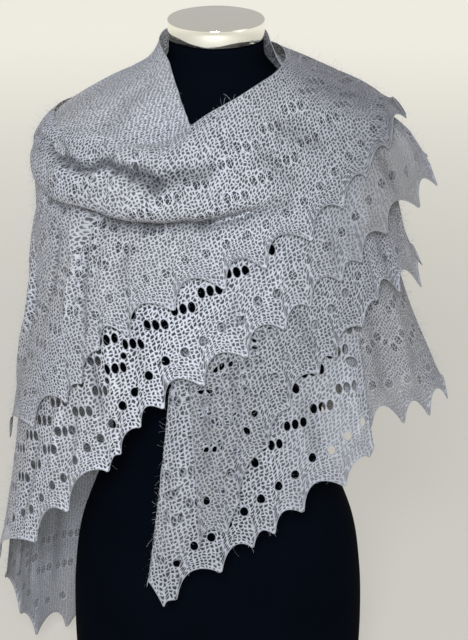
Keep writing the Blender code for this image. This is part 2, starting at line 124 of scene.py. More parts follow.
SECOND_WRAP = (
    (-158, 0.520, 6, -158, 0.430, 7.8),
    (-144, 0.515, 6, -144, 0.350, 9),
    (-130, 0.505, 6, -129, 0.270, 12),
    (-114, 0.500, 6, -113, 0.210, 14),
    (-99, 0.500, 7, -99, 0.196, 16),
    (-85, 0.500, 8, -85, 0.193, 17),
    (-69, 0.520, 11, -64, 0.261, 17),
    (-59, 0.545, 14, -54, 0.310, 16),
    (-48, 0.595, 17, -41, 0.367, 16),
    (-43, 0.605, 17, -37, 0.389, 16),
    (-36, 0.615, 17, -30, 0.423, 16),
    (-27, 0.622, 17, -21, 0.447, 17),
    (-12, 0.640, 17, -4.5, 0.475, 17),
    (6, 0.660, 17, 13.5, 0.508, 17),
    (22, 0.680, 16, 28, 0.538, 17),
    (33, 0.700, 15, 37, 0.562, 17),
    (44, 0.720, 12, 48, 0.585, 16),
    (52, 0.738, 9, 55, 0.604, 18),
    (62, 0.752, 9, 64, 0.632, 24),
    (76, 0.758, 7.5, 78, 0.651, 34),
    (88, 0.760, 6, 88, 0.668, 50),
    (98, 0.760, 6, 97, 0.690, 46),
    (112, 0.758, 7, 112, 0.676, 24),
    (126, 0.756, 8, 127, 0.670, 15),
)
FRONT_PLEAT = (
    (-12, 0.500, 7, -7, 0.274, 9.4),
    (-5, 0.530, 9, 5, 0.296, 11),
    (2, 0.560, 10, 10, 0.334, 12),
    (10, 0.590, 11, 22, 0.402, 12),
    (20, 0.610, 11, 30, 0.446, 12),
    (31, 0.630, 11, 40, 0.483, 12),
    (38, 0.645, 10, 46, 0.500, 12),
    (49, 0.665, 8, 55, 0.530, 12),
    (58, 0.680, 5, 61, 0.556, 11),
)
FRONT_END = (
    (-7, 0.520, -6, -12, 0.236, -3),
    (-15, 0.522, -6, -23, 0.240, -4.5),
    (-17.8, 0.525, -1.5, -28.5, 0.222, 1.5),
    (-13, 0.530, 3, -21.5, 0.201, 7.5),
    (-8, 0.535, 3.4, -16.5, 0.211, 7),
    (4, 0.560, 4, 2.5, 0.246, 7),
    (14, 0.578, 4, 16, 0.276, 7),
    (21, 0.590, 4, 24.5, 0.292, 7),
    (29, 0.600, 4, 35, 0.317, 7),
    (42, 0.612, 3, 48.5, 0.344, 7),
    (53, 0.615, 1, 56, 0.374, 5),
    (54.5, 0.612, -3, 57.5, 0.388, 0),
)
BACK_LOWER = (
    (52, 0.600, -7, 50, 0.430, -7),
    (60, 0.604, -6, 58, 0.406, -5),
    (70, 0.607, -3, 68, 0.402, 0),
    (78, 0.608, -2, 77, 0.400, 8),
    (89, 0.608, -1, 88, 0.401, 20),
    (104, 0.603, 0, 103, 0.385, 12),
    (119, 0.592, 2, 118, 0.360, 8),
    (134, 0.580, 4, 134, 0.325, 6),
    (149, 0.567, 6.2, 150, 0.280, 5),
    (165, 0.552, 6.2, 166, 0.230, 4),
    (181, 0.538, 4, 182, 0.175, 4),
    (197, 0.524, 2, 198, 0.120, 4),
    (212, 0.512, 0, 213, 0.070, 4),
    (226, 0.502, 0, 227, 0.036, 4),
    (239, 0.495, 0, 239, 0.026, 4),
    (251, 0.492, 0, 250, 0.034, 5),
    (262, 0.490, 0, 258, 0.084, 7),
    (274, 0.490, 0, 271, 0.165, 9),
)
BACK_UPPER = (
    (58.2, 0.680, 5, 61.2, 0.556, 11),
    (68, 0.695, 1, 70, 0.556, 15),
    (82, 0.715, -3, 83, 0.545, 22),
    (92, 0.728, -7.4, 92, 0.560, 27),
    (107, 0.738, -8.8, 106, 0.548, 16),
    (122, 0.750, -2, 121, 0.530, 12),
    (138, 0.769, 4, 137, 0.508, 11),
    (154, 0.785, 6, 153, 0.484, 10),
    (170, 0.789, 7, 170, 0.458, 10),
    (187, 0.787, 8, 187, 0.432, 11),
    (204, 0.778, 9, 204, 0.405, 13),
    (219, 0.766, 11, 219, 0.380, 15),
    (232, 0.756, 13, 232, 0.364, 16),
    (241.8, 0.752, 14, 245.8, 0.356, 17),
)
COLLAR = (
    (-13, 0.744, 12, -17, 0.712, 12),
    (-19, 0.766, 10, -25, 0.705, 12),
    (-29, 0.793, 7, -36, 0.703, 12),
    (-44, 0.817, 5, -50, 0.703, 12),
    (-64, 0.832, 4, -68, 0.704, 11),
    (-88, 0.840, 1, -88, 0.706, 9),
    (-112, 0.845, -2, -112, 0.710, 6),
    (-145, 0.848, -6, -145, 0.722, 0),
    (-180, 0.849, -7.2, -180, 0.735, -1),
    (-215, 0.848, -6.5, -212, 0.750, -1),
    (-245, 0.845, -4, -240, 0.768, -1),
    (-268, 0.838, -2, -266, 0.774, 0),
    (-288, 0.822, 1, -288, 0.772, 1),
    (-304, 0.800, 3, -306, 0.760, 3),
)
FLARE = 1.4

# Soft creases: where each starts and ends, as places along the hem and heights above it in mm of
# the cloth, its half width in mm, and how far it stands out in mm, or lies in where negative.
TOP_WRAP_CREASES = (
    (3.0, 300, 5.8, 194, 8, -14),
    (5.0, 222, 8.0, 134, 8, -15),
    (7.4, 150, 9.3, 118, 8, -8),
    (4.4, 296, 7.6, 184, 11, 7),
    (3.4, 254, 7.9, 116, 9, 6),
    (1.6, 352, 4.3, 256, 5, -4),
    (0.8, 350, 3.4, 275, 6, -4),
    (2.9, 238, 4.6, 180, 6, -7),
    (4.3, 188, 6.3, 126, 7, -9),
    (5.9, 132, 7.8, 90, 7, -10),
    (7.3, 98, 9.0, 66, 7, -10),
    (8.5, 71, 10.0, 55, 7, -9),
    (9.6, 58, 10.9, 40, 5, -5),
    (3.5, 190, 3.0, 100, 7, -6),
    (4.3, 172, 4.0, 72, 8, 5),
    (5.5, 128, 5.3, 30, 8, -5),
    (6.5, 104, 6.2, 44, 8, 4),
    (7.1, 92, 7.0, 32, 6, -3),
    (8.0, 62, 8.3, 12, 7, 2.5),
    (10.7, 128, 11.9, 60, 9, -4),
    (11.1, 144, 13.8, 32, 10, 4),
    (10.2, 116, 11.0, 52, 9, -4),
    (12.2, 140, 14.6, 50, 9, -3.5),
    (15.2, 150, 15.8, 30, 10, 5),
    (16.4, 150, 16.9, 40, 9, -4),
    (17.6, 190, 17.9, 60, 11, 5),
    (18.6, 200, 18.8, 80, 10, -5),
    (0.6, 200, 0.9, 40, 10, -5),
    (1.7, 260, 1.9, 60, 11, 6),
    (2.5, 180, 2.4, 60, 8, -4),
)
SECOND_WRAP_CREASES = (
    (7.7, 125, 7.9, 50, 7, -6),
    (8.6, 132, 9.0, 40, 8, 4),
    (6.8, 120, 6.4, 60, 8, 4),
    (7.3, 100, 7.1, 36, 6, -3),
    (6.0, 116, 5.6, 20, 8, -4),
    (10.0, 108, 10.3, 40, 7, -3),
    (13.0, 64, 12.6, 28, 8, -3),
    (14.1, 56, 13.6, 20, 9, 3),
    (15.9, 48, 16.1, 10, 7, -3),
    (17.3, 60, 17.6, 10, 7, 4),
    (18.4, 80, 18.6, 10, 7, -5),
    (19.4, 90, 19.5, 15, 8, 5),
    (20.5, 80, 20.5, 10, 7, -5),
    (1.0, 90, 1.2, 15, 9, 4),
    (2.4, 170, 2.6, 30, 9, -5),
    (3.5, 200, 3.6, 40, 10, 4),
    (4.6, 210, 4.7, 50, 8, -5),
)
FRONT_PLEAT_CREASES = (
    (0.3, 150, 0.4, 60, 6, -4),
    (1.1, 150, 1.3, 40, 8, 4),
    (2.2, 120, 2.3, 50, 8, -3.5),
    (3.4, 110, 3.7, 20, 8, 3),
    (4.7, 70, 5.1, 10, 7, -3),
    (6.0, 90, 6.4, 15, 8, 3),
)
FRONT_END_CREASES = (
    (3.6, 148, 3.5, 40, 8, 4),
    (5.0, 124, 5.4, 28, 8, -4),
    (6.6, 92, 7.1, 16, 9, 4),
    (8.2, 100, 8.5, 28, 8, -4),
    (9.4, 110, 9.7, 20, 8, 4),
)
BACK_UPPER_CREASES = (
    (0.8, 104, 0.9, 20, 8, -4),
    (2.3, 120, 2.1, 20, 8, 4),
    (3.4, 140, 3.6, 15, 8, -5),
    (4.6, 150, 4.6, 20, 10, 5),
    (5.7, 200, 5.9, 30, 9, -5),
    (7.0, 240, 7.1, 40, 12, 6),
    (8.3, 280, 8.2, 60, 10, -6),
    (9.4, 250, 9.6, 30, 11, 5),
    (10.6, 300, 10.7, 50, 10, -5),
    (11.8, 280, 11.9, 40, 12, 5),
)
BACK_LOWER_CREASES = (
    (1.4, 130, 1.5, 20, 8, -4),
    (2.6, 124, 2.3, 20, 8, 4),
    (4.2, 150, 4.3, 15, 9, -5),
    (5.5, 150, 5.6, 10, 10, 5),
    (6.8, 170, 7.0, 20, 9, -5),
    (8.2, 200, 8.3, 20, 11, 6),
    (9.6, 240, 9.7, 30, 10, -6),
    (10.9, 260, 11.0, 30, 11, 5),
    (12.3, 300, 12.4, 50, 11, -4),
    (13.3, 300, 13.4, 60, 9, 3),
    (14.4, 260, 14.5, 44, 8, -3),
    (15.1, 230, 15.4, 40, 8, 3),
    (16.2, 200, 16.2, 20, 8, -2.5),
)
COLLAR_CREASES = (
    (3.3, 110, 3.2, 30, 9, -3),
    (4.9, 150, 5.0, 40, 10, 3),
    (6.3, 150, 6.4, 40, 9, -3),
    (7.8, 110, 7.9, 20, 10, 3),
    (10.5, 90, 10.5, 15, 9, -3),
)

# The cowl's section above the crease, from its top edge down: share of the way, share of the roll.
COWL_COLUMNS = ("down", "out")
COWL_SECTION = (
    (0.00, -0.25),
    (0.12, 0.35),
    (0.30, 0.75),
    (0.50, 0.95),
    (0.72, 1.10),
    (0.88, 1.05),
    (0.96, 0.60),
    (1.00, -0.20),
)
FOLD_WIDTH = 0.16

# A tooth's arch rises from its tip, is highest soon after it and ends at the next tip.
TOOTH_DEPTH = 26 * MM
TOOTH_DEPTH_SHARE = 0.58
SCALLOP_LIFT = 3.0 * MM
SCALLOP_REACH = 0.14
ARCH_SKEW = 0.6
ARCH_FULLNESS = 0.85
TIP_BLUNTNESS = 0.14
EDGE_CURL = 1.8 * MM
EDGE_CURL_REACH = 7 * MM

# How finely a stretch's chart is worked out, and its mesh made.
PLACES_PER_TOOTH = 8
COLUMN_STEPS = 80
ROW_STEP = 6 * MM
SLANT_HEIGHT = 50 * MM
HEM_POINTS_PER_TOOTH = 22
EYELET_POINTS = 12
FIRST_ROW = 0.6
POINT_ROW_SHARE = 0.866
HEM_HEIGHT = 0.01 * MM
EDGE_MARGIN = 0.5
EYELET_MARGIN = 0.3
EYELET_NEIGHBOURHOOD = 20 * MM

# A mesh point's group is its eyelet's number, or one of these two. Their eyelet lies nowhere.
ON_OUTLINE, INSIDE, NOWHERE = -1, -2, -9.0

# Yarn along the hem is thicker than round the eyelets. Troughs get painted shade and ridges a painted
# highlight, by this depth and within these limits. The two looks of a stretch blend between these shares
# of its width.
HEM_YARN = 1.2
FOLD_SHADE_DEPTH = 15 * MM
FOLD_SHADE_LIMITS = (0.3, 1.08)
LOOKS_BLEND = (0.5, 0.72)

# Rows of eyelets, in mm of the cloth: how far up from the hem, how far apart along it, where the
# first lies, how many stand side by side, their half width and their half height.
SINGLE_ROW = (37, 24.6, 8, 1, 5.2, 5.8)
TRELLIS_ROWS = (
    (83, 36, 12, 3, 4.4, 6.5),
    (83, 36, 30, 1, 4.0, 4.2),
    (120, 36, 1, 3, 4.4, 6.5),
    (120, 36, 19, 1, 4.0, 4.2),
)
GROUP_STEP = 9.8 * MM
EYELET_APART = 1.05
CLEAR_OF_ENDS = 4 * MM
CLEAR_OF_EDGES = 6 * MM
WALE_LEAN = 0.12


def column(rows, names, name):
    """One named column of a table as an array."""
    return np.array([row[names.index(name)] for row in rows], float)


def smooth(places, values, at):
    """A smooth curve through the rows of a table, read at one or many places."""
    at = np.clip(at, places[0], places[-1])
    i = np.clip(np.searchsorted(places, at, side="right") - 1, 0, len(places) - 2)
    slope = np.gradient(values, places)
    step = places[i + 1] - places[i]
    t = (at - places[i]) / step
    start = (2 * t**3 - 3 * t**2 + 1) * values[i] + (t**3 - 2 * t**2 + t) * step * slope[i]
    end = (3 * t**2 - 2 * t**3) * values[i + 1] + (t**3 - t**2) * step * slope[i + 1]
    return start + end


def rounded_radius(azimuth, side, depth):
    """Radius of a rounded ring at an azimuth, from its half width and its depth."""
    across = np.abs(np.sin(azimuth) / side) ** RING_POWER
    along = np.abs(np.cos(azimuth) / depth) ** RING_POWER
    return (across + along) ** (-1 / RING_POWER)


def flute_depth(azimuth, height):
    """How far the hanging folds stand out, deeper towards the floor."""
    share = np.clip((FLUTE_START - height) / FLUTE_START, 0, 1)
    total = 0.0
    for crest, half_width, depth in FLUTES:
        turn = (np.degrees(azimuth) - crest + 180) % 360 - 180
        total = total + depth * MM * np.exp(-((turn / half_width) ** 2))
    return total * share


def ring_stack_point(azimuth, height):
    """A point on the drape surface."""
    heights = column(DRAPE_RINGS, DRAPE_COLUMNS, "height")
    left, right, front, back = (
        smooth(heights, column(DRAPE_RINGS, DRAPE_COLUMNS, name), height)
        for name in ("left", "right", "front", "back")
    )
    side = np.where(np.sin(azimuth) < 0, left, right)
    depth = np.where(np.cos(azimuth) > 0, front, back)
    radius = rounded_radius(azimuth, side, depth) + flute_depth(azimuth, height)
    return np.stack([radius * np.sin(azimuth), -radius * np.cos(azimuth), height], -1)


def drape_point(azimuth, height, out):
    """A point that stands off the drape surface along its normal."""
    azimuth, height, out = np.broadcast_arrays(azimuth, height, out)
    tiny = 1e-4
    along = ring_stack_point(azimuth + tiny, height) - ring_stack_point(azimuth - tiny, height)
    upward = ring_stack_point(azimuth, height + tiny) - ring_stack_point(azimuth, height - tiny)
    normal = np.cross(along, upward)
    normal = normal / np.linalg.norm(normal, axis=-1, keepdims=True)
    return ring_stack_point(azimuth, height) + normal * out[..., None]


def cowl_share(down):
    """The roll's share of its full stand-off, part of the way down from the top edge."""
    places = column(COWL_SECTION, COWL_COLUMNS, "down")
    return smooth(places, column(COWL_SECTION, COWL_COLUMNS, "out"), down)


class Stretch:
    """A stretch of cloth between a top edge and a toothed hem, with a chart of it laid flat: metres
    along each course of stitches, and metres up from the hem. A place along the hem is counted in
    teeth from the table's first row."""

    def __init__(self, rows, toothed=True, creases=()):
        self.toothed = toothed
        rows = [row + PLAIN[: len(STRETCH_COLUMNS) - len(row)] for row in rows]
        self.values = {name: column(rows, STRETCH_COLUMNS, name) for name in STRETCH_COLUMNS}
        for name in ("top_azimuth", "hem_azimuth"):
            self.values[name] = np.radians(self.values[name])
        for name in ("top_out", "hem_out", "roll", "fold_depth"):
            self.values[name] = self.values[name] * MM
        self.teeth = len(rows) - 1
        tips = drape_point(*(self.values["hem_" + name] for name in ("azimuth", "height", "out")))
        spans = np.linalg.norm(np.diff(tips[:, :2], axis=0), axis=1)
        self.depths = np.minimum(TOOTH_DEPTH, TOOTH_DEPTH_SHARE * spans)
        self.make_chart()
        self.creases = [self.crease_line(*crease) for crease in creases]

    def at(self, name, place):
        """A column of the table, read at places along the hem."""
        return smooth(np.arange(self.teeth + 1.0), self.values[name], place)

    def scallop(self, place):
        """0 at a tooth's tip and 1 at the top of the arch beside it."""
        rise = np.sin(math.pi * (place % 1.0) ** ARCH_SKEW)
        rise = np.clip((rise - TIP_BLUNTNESS) / (1 - TIP_BLUNTNESS), 0, 1) ** ARCH_FULLNESS
        return rise if self.toothed else 0.0 * rise

    def make_chart(self):
        """The length up each column of the cloth and along each course."""
        self.places = np.linspace(0, self.teeth, self.teeth * PLACES_PER_TOOTH + 1)
        downs = np.linspace(1, 0, COLUMN_STEPS + 1)
        lines = self.surface(*np.meshgrid(self.places, downs, indexing="ij"))
        steps = np.linalg.norm(np.diff(lines, axis=1), axis=2)
        rises = np.concatenate([np.zeros((len(steps), 1)), np.cumsum(steps, axis=1)], axis=1)
        self.lengths = rises[:, -1]
        shares = np.linspace(0, 1, COLUMN_STEPS + 1)
        self.downs = np.stack([np.interp(shares * rise[-1], rise, downs) for rise in rises])
        self.slant = self.usual_slant()
        self.lengths = self.lengths * self.slant
        self.heights = np.arange(0, self.lengths.max() + ROW_STEP, ROW_STEP)
        place, height = np.meshgrid(self.places, self.heights, indexing="ij")
        courses = self.surface(place, self.down_at(place, height))
        below = np.minimum(height, self.length_at(place) - 2 * ROW_STEP)
        upward = self.surface(place, self.down_at(place, below + ROW_STEP))
        upward = upward - self.surface(place, self.down_at(place, below))
        upward = (upward[1:] + upward[:-1]) / np.linalg.norm(
            upward[1:] + upward[:-1], axis=2, keepdims=True
        )
        steps = np.diff(courses, axis=0)
        rises = (steps * upward).sum(-1)
        start = len(self.places) // 2
        self.along = self.summed(np.linalg.norm(steps, axis=2), start)
        self.side = self.summed(np.linalg.norm(steps - rises[..., None] * upward, axis=2), start)
        self.rise = self.summed(rises, start)[:, int(SLANT_HEIGHT / ROW_STEP)]

    def summed(self, steps, start):
        """Running sums of steps from place to place, nought at the chart's middle."""
        total = np.concatenate([np.zeros((1, steps.shape[1])), np.cumsum(steps, axis=0)])
        return total - total[start]

    def usual_slant(self):
        """How nearly square the columns are to the courses, on the whole: 1 where they are."""
        height = np.minimum(SLANT_HEIGHT, self.lengths / 2)
        low, high = (
            self.surface(self.places, self.down_at(self.places, height + step))
            for step in (0.0, ROW_STEP)
        )
        course, upward = np.gradient(low, axis=0), high - low
        square = np.linalg.norm(np.cross(course, upward), axis=1)
        slant = square / np.linalg.norm(course, axis=1) / np.linalg.norm(upward, axis=1)
        return float(np.median(slant))

    def length_at(self, place):
        """The length of the cloth's columns from hem to top edge."""
        return np.interp(place, self.places, self.lengths)

    def room_at(self, place):
        """How much cloth there is below the crease, up the columns."""
        below = 1 - np.clip(self.at("crease", place), 0, 1)
        return below * self.length_at(place) / self.slant

    def down_at(self, place, rise):
        """The share of the way down from the top edge, so many metres up from the hem."""
        share = np.clip(rise / self.length_at(place), 0, 1) * COLUMN_STEPS
        i = np.clip((place * PLACES_PER_TOOTH).astype(int), 0, len(self.places) - 2)
        j = np.clip(share.astype(int), 0, COLUMN_STEPS - 1)
        s, t = place * PLACES_PER_TOOTH - i, share - j
        low = self.downs[i, j] * (1 - t) + self.downs[i, j + 1] * t
        high = self.downs[i + 1, j] * (1 - t) + self.downs[i + 1, j + 1] * t
        return low * (1 - s) + high * s

    def surface(self, place, down, lift=0.0):
        """The cloth without its teeth, at places along the hem and shares of the way down."""
        azimuth = self.at("top_azimuth", place) * (1 - down) + self.at("hem_azimuth", place) * down
        height = self.at("top_height", place) * (1 - down) + self.at("hem_height", place) * down
        out = self.at("top_out", place)
        out = out + (self.at("hem_out", place) - out) * np.clip(down, 0, 1) ** FLARE
        crease = np.clip(self.at("crease", place), 0, 1)
        within = np.clip(down / np.maximum(crease, 1e-6), 0, 1)
        trough = np.exp(-(((within - self.at("fold_place", place)) / FOLD_WIDTH) ** 2))
        roll = self.at("roll", place) * cowl_share(within) - self.at("fold_depth", place) * trough
        out = out + np.where(down < crease, roll, 0.0) + lift
        return drape_point(azimuth, height, out)

    def along_at(self, place, height):
        """Metres along a course from the chart's middle."""
        return self.read(self.along, place, height)

    def read(self, table, place, height):
        """A value between those that a table has for each place and course."""
        j = np.clip((height / ROW_STEP).astype(int), 0, len(self.heights) - 2)
        i = np.clip((place * PLACES_PER_TOOTH).astype(int), 0, len(self.places) - 2)
        s, t = place * PLACES_PER_TOOTH - i, height / ROW_STEP - j
        low = table[i, j] * (1 - t) + table[i, j + 1] * t
        high = table[i + 1, j] * (1 - t) + table[i + 1, j + 1] * t
        return low * (1 - s) + high * s

    def place_at(self, along, height):
        """The place along the hem of points on the chart."""
        j = np.clip((height / ROW_STEP).astype(int), 0, len(self.heights) - 2)
        t = height / ROW_STEP - j
        found = np.zeros_like(along)
        for k in np.unique(j):
            here = j == k
            low = np.interp(along[here], self.along[:, k], self.places)
            high = np.interp(along[here], self.along[:, k + 1], self.places)
            found[here] = low * (1 - t[here]) + high * t[here]
        return found

    def knit_at(self, along, height):
        """Metres across the wales of stitches and up them, for points of the chart."""
        place = self.place_at(along, height)
        up = height / self.slant + np.interp(place, self.places, self.rise)
        return np.stack([self.read(self.side, place, height) + WALE_LEAN * up, up], -1)

    def crease_line(self, place, height, end_place, end_height, half_width, depth):
        """A soft ridge, or a trough where its depth is negative, between two points of the chart."""
        ends = np.array([place, end_place], float), np.array([height, end_height]) * MM
        return np.stack([self.along_at(*ends), ends[1]], -1), half_width * MM, depth * MM

    def crease_lift(self, along, height):
        """How far the creases lift points of the chart, or lower them where negative."""
        total = np.zeros_like(along)
        for (start, end), half_width, depth in self.creases:
            way = end - start
            points = np.stack([along, height], -1)
            share = np.clip((points - start) @ way / (way @ way), 0, 1)
            away = np.linalg.norm(points - start - share[:, None] * way, axis=1)
            total += depth * np.exp(-((away / half_width) ** 2)) * (1 - (2 * share - 1) ** 4)
        return total

    def dressed(self, along, height):
        """Points of the finished cloth for points of the chart."""
        place = np.clip(self.place_at(along, height), 0, self.teeth)
        near_hem = 1 - height / self.slant / np.minimum(self.room_at(place), SCALLOP_REACH)
        near_hem = np.clip(near_hem, 0, 1) ** 3
        arch = self.scallop(place) * near_hem
        depth = self.depths[np.clip(place.astype(int), 0, self.teeth - 1)]
        down = self.down_at(place, height + depth * arch * self.slant)
        curl = EDGE_CURL * np.clip(1 - height / EDGE_CURL_REACH, 0, 1) ** 2 * self.toothed
        lift = SCALLOP_LIFT * arch + curl + self.crease_lift(along, height)
        return self.surface(place, down, lift)

    def outline(self):
        """The chart's edge: along the hem, up the right end, back along the top, down the left."""
        hem = np.linspace(0, self.teeth, self.teeth * HEM_POINTS_PER_TOOTH + 1)
        sides = []
        for place in (float(self.teeth), 0.0):
            length = float(self.length_at(place))
            heights = np.linspace(0, length, max(3, int(length / ROW_STEP)))[1:]
            sides.append((np.full_like(heights, place), heights))
        top = self.places[1:-1][::-1]
        place = np.concatenate([hem, sides[0][0], top, sides[1][0][::-1]])
        height = np.concatenate([0 * hem, sides[0][1], self.length_at(top), sides[1][1][::-1]])
        return np.stack([self.along_at(place, height), height], -1)

    def true_frames(self, points):
        """For points of the chart, its steps that go one metre across the wales and up them on
        the finished cloth."""
        along, height = points.T
        across = self.dressed(along + MM, height) - self.dressed(along - MM, height)
        upward = self.dressed(along, height + MM) - self.dressed(along, height - MM)
        slopes = np.stack([across, upward], -1) / (2 * MM)
        up = upward / np.linalg.norm(upward, axis=1, keepdims=True)
        side = across - (across * up).sum(1, keepdims=True) * up
        side = side / np.linalg.norm(side, axis=1, keepdims=True)
        size = math.hypot(1, WALE_LEAN)
        ways = np.stack([side + WALE_LEAN * up, up - WALE_LEAN * side], -1) / size
        return np.linalg.pinv(slopes) @ ways

    def eyelets(self, lifts):
        """The lace's eyelets, clear of the edges and of each other: centres on the chart, frames
        and half sizes."""
        rows = [SINGLE_ROW] if self.toothed else []
        for lift in lifts:
            rows += [(height + lift, *rest) for height, *rest in TRELLIS_ROWS]
        centres, frames, halves = [np.zeros((0, 2))], [np.zeros((0, 2, 2))], [np.zeros((0, 2))]
        for height, pitch, start, group, half_width, half_height in rows:
            if height * MM > self.heights[-1]:
                continue
            low, high = (
                float(self.along_at(np.array([place]), np.array([height * MM]))[0])
                for place in (0.0, float(self.teeth))
            )
            first = math.ceil(low / (pitch * MM)) * pitch * MM + start * MM
            along = np.arange(first, high, pitch * MM)
            points = np.stack([along, np.full_like(along, height * MM)], -1)
            # Where a row runs on above the cloth's top edge, there is no cloth to hold an eyelet.
            points = points[points[:, 1] - MM < self.length_at(self.place_at(*points.T))]
            turned = self.true_frames(points)
            for member in range(group):
                away = (member - (group - 1) / 2) * GROUP_STEP
                centres.append(points + turned[:, :, 0] * away)
                frames.append(turned)
                halves.append(np.tile([half_width * MM, half_height * MM], (len(points), 1)))
        centres, frames, halves = (np.concatenate(part) for part in (centres, frames, halves))
        reach = np.sqrt(((frames * halves[:, None, :]) ** 2).sum(-1))
        up = centres[:, 1]
        ends = self.along_at(np.zeros_like(up), up), self.along_at(0 * up + self.teeth, up)
        clear = (centres[:, 0] - reach[:, 0] > ends[0] + CLEAR_OF_ENDS)
        clear &= centres[:, 0] + reach[:, 0] < ends[1] - CLEAR_OF_ENDS
        clear &= up - reach[:, 1] > CLEAR_OF_EDGES
        place = self.place_at(centres[:, 0], up)
        clear &= up + reach[:, 1] < self.length_at(place) - CLEAR_OF_EDGES
        kept = []
        for k in np.flatnonzero(clear):
            apart = (np.linalg.solve(frames[k], centres[kept].T - centres[k][:, None])
                     if kept else np.zeros((2, 0)))
            if all(np.abs(apart / (halves[k] + halves[kept]).T).max(0) > EYELET_APART):
                kept.append(k)
        return centres[kept], frames[kept], halves[kept]


def sheet_mesh(name, stretch, spacing, parts):
    """The cloth as one open mesh with its eyelets cut, and the chart as its UV map."""
    outline = stretch.outline()
    centres, frames, halves = stretch.eyelets(parts["lifts"])
    turns = 2 * math.pi * np.arange(EYELET_POINTS) / EYELET_POINTS
    ring = np.stack([np.cos(turns), np.sin(turns)])
    loops = centres[:, None] + np.swapaxes(frames @ (halves[..., None] * ring), 1, 2)
    low, high = outline.min(0), outline.max(0)
    rows = np.arange(low[1] + spacing * FIRST_ROW, high[1], spacing * POINT_ROW_SHARE)
    inner = []
    for number, height in enumerate(rows):
        along = np.arange(low[0] + spacing * 0.5 * (number % 2), high[0], spacing)
        inner.append(np.stack([along, np.full_like(along, height)], -1))
    inner = np.concatenate(inner)
    place = stretch.place_at(*inner.T)
    ends = [stretch.along_at(np.full(len(inner), end), inner[:, 1]) for end in (0.0, stretch.teeth)]
    clear = (inner[:, 0] > ends[0] + spacing * EDGE_MARGIN)
    clear &= inner[:, 0] < ends[1] - spacing * EDGE_MARGIN
    clear &= inner[:, 1] < stretch.length_at(place) - spacing * EDGE_MARGIN
    for centre, turned, half in zip(centres, frames, halves):
        near = np.abs(inner - centre).max(1) < EYELET_NEIGHBOURHOOD
        reach = half + spacing * EYELET_MARGIN
        away = np.linalg.solve(turned, (inner[near] - centre).T).T / reach
        clear[near] &= (away**2).sum(1) > 1
    inner = inner[clear]
    points = np.concatenate([outline, loops.reshape(-1, 2), inner])
    group = np.concatenate([
        np.full(len(outline), ON_OUTLINE),
        np.repeat(np.arange(len(loops)), EYELET_POINTS),
        np.full(len(inner), INSIDE),
    ])
    edges = [(k, (k + 1) % len(outline)) for k in range(len(outline))]
    for number in range(len(loops)):
        start = len(outline) + number * EYELET_POINTS
        edges += [(start + k, start + (k + 1) % EYELET_POINTS) for k in range(EYELET_POINTS)]
    flat, _, faces, origins, _, _ = delaunay_2d_cdt(
        [Vector(p) for p in points], edges, [], 1, 1e-7
    )
    flat = np.array([tuple(p) for p in flat])
    group = np.array([group[origin[0]] if origin else INSIDE for origin in origins])
    faces = np.array([list(face) for face in faces])
    corner = group[faces]
    in_hole = (corner[:, 0] >= 0) & (corner[:, 0] == corner[:, 1]) & (corner[:, 0] == corner[:, 2])
    eyelet_place = np.append(stretch.place_at(*centres.T), (NOWHERE, NOWHERE))[corner[:, 0]]
    veiled = parts["veiled"]
    fluffy = in_hole & (eyelet_place >= veiled[0]) & (eyelet_place <= veiled[1])
    kept = fluffy | ~in_hole
    faces, fluffy = faces[kept], fluffy[kept]
    spun = np.cross(flat[faces[:, 1]] - flat[faces[:, 0]], flat[faces[:, 2]] - flat[faces[:, 0]])
    faces[spun < 0] = faces[spun < 0][:, ::-1]
    mesh = bpy.data.meshes.new(name)
    mesh.from_pydata(stretch.dressed(*flat.T).tolist(), [], faces.tolist())
    for uv_map, places in ((CHART, flat), (KNIT, stretch.knit_at(*flat.T) / parts["gauge"])):
        layer = mesh.uv_layers.new(name=uv_map)
        layer.data.foreach_set("uv", places[faces.ravel()].astype(np.float32).ravel())
    way = np.clip(stretch.place_at(*flat.T) / stretch.teeth, 0, 1)
    # The creases' troughs get painted shade and their ridges a painted highlight.
    shade = 1 + stretch.crease_lift(*flat.T) / FOLD_SHADE_DEPTH
    at_points = {
        "yarn": np.where(flat[:, 1] < HEM_HEIGHT, HEM_YARN, 1.0),
        "rim": np.where(group >= 0, 1.0, 0.0),
        "clearness": np.interp(way, LOOKS_BLEND, parts["clearness"]),
        # Painted light and shade of the stretch, times the painted shade and highlight of its creases.
        "painted_shading": np.interp(way, LOOKS_BLEND, parts["painted_shading"])
        * np.clip(shade, *FOLD_SHADE_LIMITS),
    }
    for key, values in at_points.items():
        layer = mesh.attributes.new(key, "FLOAT", "POINT")
        layer.data.foreach_set("value", values.astype(np.float32))
    veil = mesh.attributes.new("veil", "FLOAT", "FACE")
    veil.data.foreach_set("value", fluffy.astype(np.float32))
    mesh.shade_smooth()
    mesh.update()
    return mesh, float(np.abs(spun).sum() / 2)


class Term:
    """A shader value that sums, products and the like can be written with."""

    def __init__(self, graph, socket):
        self.graph, self.socket = graph, socket

    def math(self, operation, *values):
        return self.graph.node("ShaderNodeMath", {"operation": operation}, values)

    def __add__(self, other):
        return self.math("ADD", self, other)

    def __radd__(self, other):
        return self.math("ADD", other, self)

    def __sub__(self, other):
        return self.math("SUBTRACT", self, other)

    def __rsub__(self, other):
        return self.math("SUBTRACT", other, self)

    def __mul__(self, other):
        return self.math("MULTIPLY", self, other)

    def __rmul__(self, other):
        return self.math("MULTIPLY", other, self)

    def __truediv__(self, other):
        return self.math("DIVIDE", self, other)

    def wave(self):
        return self.math("SINE", self)

    def size(self):
        return self.math("ABSOLUTE", self)


